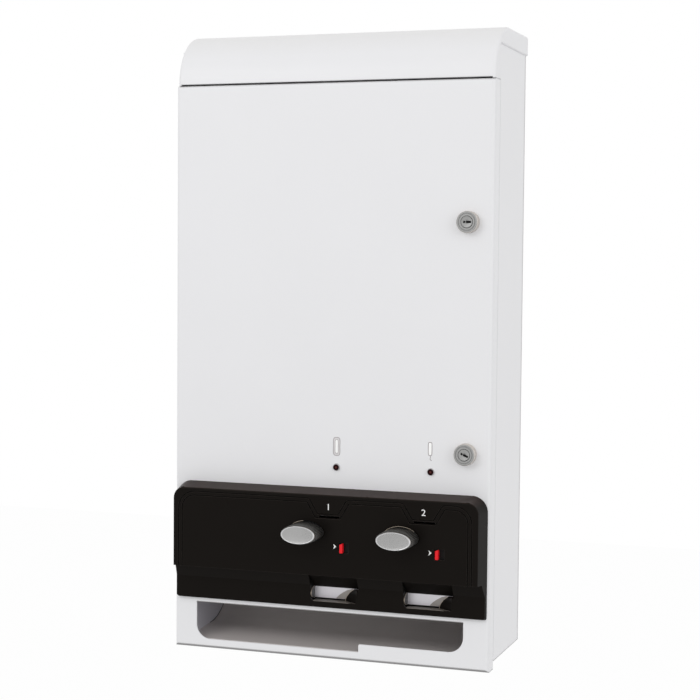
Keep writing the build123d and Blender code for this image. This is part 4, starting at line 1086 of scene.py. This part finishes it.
def add_cup_floor(name, x, left, right, flap_face, floor):
    """Painted highlight: a brown strip on the floor of a cup and along the lip in front of it."""
    under, top = floor - FLOOR_STRIP_SHEET / 4, floor + FLOOR_STRIP_SHEET
    start = left + 2 * CHEEK_SHEET
    outline = [(start, under), (right, under), (right, top), (start, top)]
    floor_strip = slab(outline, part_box(f"{name}_return_cup")[0].y + FLOOR_STRIP_SHEET, flap_face - FLOOR_STRIP_SHEET)
    add_piece(f"{name}_cup_floor_highlight", floor_strip, lip_highlight, "door")
    crest = floor + CUP_TRIM * 3
    outline = [
        (start, floor), (x + RIGHT_CHEEK_LOW * LIP_FOOT_SHARE, floor),
        (x + RIGHT_CHEEK_LOW * LIP_CREST_SHARE, crest), (left + 4 * CHEEK_SHEET, crest),
    ]
    sill = DOOR - SILL_PROUD
    lip = slab(outline, sill + CUP_TRIM, sill + CUP_TRIM * 5)
    add_piece(f"{name}_cup_lip", lip, lip_highlight, "door")


def add_right_cheek(name, x, floor):
    """Painted highlight along the edge of the cheek that sweeps out at the right of a cup."""
    sweep = []
    for step in range(CHEEK_STEPS + 1):
        share = step / CHEEK_STEPS
        across = RIGHT_CHEEK_LOW + RIGHT_CHEEK_SWEEP * share**2
        sweep.append((x + across, floor + share * RIGHT_CHEEK_RISE))
    rear = DOOR + RIGHT_CHEEK_SETBACK
    edge = stroke(sweep, CUP_TRIM, rear - CUP_TRIM, rear, closed=False)
    add_piece(f"{name}_right_cheek_edge", edge, tan_highlight, "door")


def add_cup_details(name):
    """Cheeks, floor and lip of a return cup with their painted highlights, and a painted shadow on its flap.
    """
    low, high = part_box(f"{name}_return_flap")
    x, left = (low.x + high.x) / 2, low.x + CUP_WALL
    flap_face, floor = (low.y + high.y) / 2 - FLAP_HALF, low.z - CUP_FLOOR_DROP
    add_left_cheek(name, left, flap_face, low.z + CHEEK_HALF - CHEEK_SINK)
    add_cup_floor(name, x, left, high.x - 2 * CUP_WALL, flap_face, floor)
    add_right_cheek(name, x, floor)
    outline = [(x + across * MM, low.z + up * MM) for across, up in FLAP_SHADOW_POINTS]
    shadow_patch = slab(outline, flap_face - FLAP_SHADOW_PROUD, flap_face + FLAP_SHADOW_SUNK)
    add_piece(f"{name}_flap_ear", shadow_patch, flap_shadow_tint, f"{name}_flap")


# Tray and hood


def add_tray_seams():
    """Joint between the trough and each of its end walls."""
    low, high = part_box("product_tray")
    y, z = high.y - TRAY_SHEET - TRAY_RADIUS, low.z + TRAY_CENTRE_RISE
    reach = TRAY_RADIUS - SEAM_HALF
    path = []
    for step in range(TRAY_STEPS + 1):
        turn = radians(TRAY_SWEEP) * step / TRAY_STEPS
        path.append((-(y + reach * sin(turn)), z - reach * cos(turn)))
    for label, left in (("left", low.x + TRAY_SHEET), ("right", high.x - TRAY_SHEET - SEAM_HALF)):
        seam = turned_aside(stroke(path, SEAM_HALF, left, left + SEAM_HALF, closed=False))
        add_piece(f"tray_{label}_seam", seam, seam_dark, "root")


def add_hood_rolls():
    """Rolled lower edge inside each side lip of the hood."""
    low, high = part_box("hood")
    shell_low, shell_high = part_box("cabinet_shell")
    front, top = shell_low.y + HOOD_ROLL_SETBACK, shell_high.z + HOOD_ROLL_DROP
    for label, side, wall, lip in (("left", -1, shell_low.x, low.x), ("right", 1, shell_high.x, high.x)):
        outer, inner = lip - side * HOOD_ROLL_INSET, wall - side * HOOD_ROLL_INSET
        outline = [
            (inner, shell_high.z - HOOD_ROLL_DROP), (outer, shell_high.z + HOOD_ROLL_DROP / 4),
            (outer, top), (inner, top),
        ]
        add_piece(f"hood_{label}_roll", slab(outline, front, high.y), enamel, "root")


# Pictures over the sold-out windows


def add_print(name, mesh, finish):
    """Thin print on the door."""
    add_piece(name, mesh, finish, "door")


def add_pad_picture():
    """Printed outline of a pad."""
    x, z = window_place("pad")
    centre = (x, z + PAD_RISE)
    wide, high, half = PAD_BAND
    band = stroke(pill(centre, wide, high, PAD_WAIST), half, DOOR - PRINT, DOOR + PRINT)
    add_print("pad_picture_band", band, pale_print)
    for label, (wide, high, half) in PAD_LINES.items():
        line = stroke(pill(centre, wide, high, PAD_WAIST), half, DOOR - 2 * PRINT, DOOR + PRINT)
        add_print(f"pad_picture_{label}", line, grey_print)
    wide, high, _ = PAD_LINES["inner"]
    inside = slab(pill(centre, wide, high, PAD_WAIST), DOOR - PRINT, DOOR + PRINT)
    add_print("pad_picture_inside", inside, white_print)


def add_tampon_picture():
    """Printed outline of a tampon with its string."""
    x, z = window_place("tampon")
    centre = (x + TAMPON_SHIFT, z + TAMPON_RISE)
    wide, high, half = TAMPON_LINE
    line = pill(centre, wide, high, square=TAMPON_SQUARE)
    add_print("tampon_picture_outline", stroke(line, half, DOOR - 2 * PRINT, DOOR + PRINT), grey_print)
    add_print("tampon_picture_inside", slab(line, DOOR - PRINT, DOOR + PRINT), white_print)
    string = []
    for step in range(STRING_STEPS + 1):
        share = step / STRING_STEPS
        sway = STRING_SWAY * sin(share * 2 * pi) + STRING_KICK * share**3
        string.append((centre[0] + sway, centre[1] - high - STRING_LONG * share))
    mesh = stroke(string, STRING_HALF, DOOR - PRINT, DOOR + PRINT, closed=False)
    add_print("tampon_picture_string", mesh, grey_print)


# Windows


def add_window_rim(name):
    """Clear edge round a sold-out window, which catches the light, and the window's red core."""
    place = window_place(name)
    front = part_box("indicator_lenses")[0].y
    profile = [(radius * MM, front + depth * MM) for radius, depth in RIM_FRONT]
    profile += [(radius * MM, DOOR + depth * MM) for radius, depth in RIM_FOOT]
    ring = lathe(profile, place, WINDOW_STEPS)
    add_piece(f"{name}_window_rim", ring, window_edge, "door")
    core = [
        (0.0, front - CORE_PROUD), (CORE_RADIUS / 2, front - CORE_PROUD), (CORE_RADIUS, front),
        (CORE_RADIUS, front + CORE_PROUD * 2), (0.0, front + CORE_PROUD * 2),
    ]
    disc = lathe(core, place, CORE_STEPS)
    add_piece(f"{name}_window_core", disc, lens_core, "door")


# Locks


def turned_lock(name):
    """Collar with rings turned in its front and a threaded barrel, in place of the plain body, and a paler
    side that is a painted reflection.
    """
    low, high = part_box(f"{name}_lock_body")
    centre, collar = round_end(f"{name}_lock_body")
    bore = round_end(f"{name}_lock_plug")[1] + PLUG_PLAY
    front, edge = low.y, collar - LOCK_EDGE
    profile = [(bore, front + BORE_DEEP), (bore + BORE_BEVEL, front + BORE_FRONT)]
    for inner, outer, sunk in LOCK_RINGS:
        profile += [(inner * MM, front + sunk * MM), (outer * MM, front + sunk * MM)]
    profile += [(edge, front + LOCK_EDGE), (edge, DOOR), (BARREL, DOOR)]
    root = BARREL - THREAD_DEEP
    for turn in range(int((high.y - DOOR) / THREAD_PITCH)):
        depth = DOOR + turn * THREAD_PITCH
        profile += [(BARREL, depth + THREAD_START), (root, depth + THREAD_PITCH / 2)]
    profile += [(root, high.y), (bore, high.y)]
    mesh = lathe(profile, centre, LOCK_STEPS)
    piece = add_piece(f"{name}_lock_collar", mesh, lock_chrome, "door")
    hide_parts(f"{name}_lock_body")
    side = [
        (edge, front + LOCK_EDGE), (collar - LOCK_EDGE / 4, front + 2 * LOCK_EDGE),
        (collar, front + 4 * LOCK_EDGE), (collar, DOOR), (edge, DOOR),
    ]
    add_piece(f"{name}_lock_side", lathe(side, centre, LOCK_STEPS), lock_side, "door")


def turned_plug(name):
    """Dished plug with a ragged keyway, in place of the plain plug."""
    low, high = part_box(f"{name}_lock_plug")
    centre, radius = round_end(f"{name}_lock_plug")
    profile = [(radius * share, low.y + depth * MM) for share, depth in PLUG_DISH]
    profile += [(radius, high.y), (0.0, high.y)]
    lean = radians(KEYWAY_LEANS[name])
    keyway = []
    for along, across in KEYWAY_POINTS:
        x = along * cos(lean) - across * sin(lean)
        z = along * sin(lean) + across * cos(lean)
        keyway.append((centre[0] + x * MM, centre[1] + z * MM))
    cutter = slab(keyway, low.y - KEYWAY_OVERRUN, low.y + KEYWAY_DEEP)
    mesh = carve(lathe(profile, centre, PLUG_STEPS), cutter)
    piece = add_piece(f"{name}_lock_face", mesh, lock_chrome, f"{name}_lock")
    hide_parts(f"{name}_lock_plug")
    depth = low.y + KEYWAY_DEEP / 4
    shade = slab(keyway, depth, depth + KEYWAY_SHEET)
    add_piece(f"{name}_keyway_shade", shade, keyway_dark, f"{name}_lock")


# Screws


def loose_parts(node):
    """Boxes of the separate solids in a node."""
    shape = bmesh.new()
    shape.from_mesh(nodes[node].data)
    bmesh.ops.remove_doubles(shape, verts=shape.verts, dist=MERGE)
    left = set(shape.verts)
    boxes = []
    while left:
        first = left.pop()
        group, edge = [first], [first]
        while edge:
            vert = edge.pop()
            for link in vert.link_edges:
                other = link.other_vert(vert)
                if other in left:
                    left.remove(other)
                    group.append(other)
                    edge.append(other)
        xs, ys, zs = zip(*(vert.co for vert in group))
        boxes.append((Vector((min(xs), min(ys), min(zs))), Vector((max(xs), max(ys), max(zs)))))
    shape.free()
    return sorted(boxes, key=lambda box: (round(box[0].x, 5), round(box[0].z, 5)))


def add_screws(node, body, head, shank_radius, to_wall):
    """Screws with crossed recesses in place of a node of plain ones."""
    boxes = loose_parts(node)
    seeds = []
    for low, high in boxes:
        seat = high.y - head if to_wall else low.y + head
        seeds.append(((low.x + high.x) / 2, seat, (low.z + high.z) / 2))
    low, high = boxes[0]
    mesh = grown(SCREWS, {
        "Head Radius": (high.x - low.x) / 2, "Head": head, "Shank Radius": shank_radius,
        "Shank": high.y - low.y - head, "Turn": (-pi / 2 if to_wall else pi / 2, 0, 0),
    }, seeds)
    mesh.shade_smooth()
    mesh.set_sharp_from_angle(angle=radians(SCREW_SMOOTH_BELOW))
    piece = add_piece(f"{node}_crossed", mesh, screw_steel, body)
    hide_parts(node)


# Camera, light and floor


def make_camera():
    """Camera to the right of the cabinet, a little above its middle."""
    yaw, pitch, roll = CAMERA_YAW, CAMERA_PITCH, CAMERA_ROLL
    ahead = Vector((sin(yaw) * cos(pitch), cos(yaw) * cos(pitch), -sin(pitch)))
    right = Vector((cos(yaw), -sin(yaw), 0))
    up = right.cross(ahead)
    rolled_right = right * cos(roll) + up * sin(roll)
    rolled_up = up * cos(roll) - right * sin(roll)
    camera = placed("camera", bpy.data.cameras.new("camera"))
    turn = Matrix((rolled_right, rolled_up, -ahead)).transposed().to_4x4()
    camera.matrix_world = Matrix.Translation(Vector(CAMERA_PLACE)) @ turn
    camera.data.lens = CAMERA_LENS
    camera.data.sensor_width = CAMERA_SENSOR
    bpy.context.scene.camera = camera


def add_lamp(name, place, power):
    """Soft square lamp that looks at the cabinet."""
    lamp = bpy.data.lights.new(name, "AREA")
    lamp.size = LAMP_SIZE
    lamp.energy = power
    holder = placed(name, lamp)
    holder.location = place
    way = Vector(LAMP_TARGET) - Vector(place)
    holder.rotation_euler = way.to_track_quat("-Z", "Y").to_euler()


def seen_share(tree):
    """One where the camera, a mirror or glass sees a surface, and nought for plain light."""
    path = tree.nodes.new("ShaderNodeLightPath").outputs
    seen = math_node(tree, "MAXIMUM", path["Is Camera Ray"], path["Is Transmission Ray"])
    return math_node(tree, "MAXIMUM", seen, path["Is Glossy Ray"])


def make_world():
    """White where the camera, a mirror or glass sees it, and plain soft light elsewhere."""
    world = bpy.data.worlds.new("studio")
    bpy.context.scene.world = world
    world.use_nodes = True
    tree = world.node_tree
    background = tree.nodes["Background"]
    background.inputs["Color"].default_value = rgb(1.0, 1.0, 1.0)
    socket(tree, span(tree, seen_share(tree), AMBIENT, 1.0), background.inputs["Strength"])


def make_floor():
    """Pale floor well below the cabinet: nearly white to the camera, and still shaded."""
    mesh = bpy.data.meshes.new("floor")
    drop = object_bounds()[0].z - FLOOR_DROP
    corners = [(-1, -1), (1, -1), (1, 1), (-1, 1)]
    mesh.from_pydata([(x * FLOOR_REACH, y * FLOOR_REACH, drop) for x, y in corners], [], [(0, 1, 2, 3)])
    floor = placed("floor", mesh)
    made = bpy.data.materials.new("pale_floor")
    made.use_nodes = True
    tree = made.node_tree
    surface = tree.nodes["Principled BSDF"]
    surface.inputs["Base Color"].default_value = rgb(FLOOR_GREY, FLOOR_GREY, FLOOR_GREY)
    surface.inputs["Roughness"].default_value = FLOOR_ROUGH
    glow = add_node(tree, "ShaderNodeEmission", Strength=1.0)
    mix = tree.nodes.new("ShaderNodeMixShader")
    socket(tree, product(tree, seen_share(tree), FLOOR_GLOW), mix.inputs[0])
    socket(tree, surface.outputs[0], mix.inputs[1])
    socket(tree, glow.outputs[0], mix.inputs[2])
    socket(tree, mix.outputs[0], tree.nodes["Material Output"].inputs["Surface"])
    mesh.materials.append(made)


dress_frame()
for module in MODULES:
    add_flutes(module)
    add_skirt(module)
    add_face(module)
    add_button(module)
    add_arrow(module)
    add_number(module)
    add_slot_shade(module)
    add_cup_details(module)
    add_window_rim(module)
add_tray_seams()
add_hood_rolls()
add_pad_picture()
add_tampon_picture()
for lock in KEYWAY_LEANS:
    turned_lock(lock)
    turned_plug(lock)
for fixing in SCREW_SETS:
    add_screws(*fixing)

make_camera()
make_world()
make_floor()
for label, (spot, watts) in LAMPS.items():
    add_lamp(label, spot, watts)
bpy.context.scene.view_settings.view_transform = "Standard"
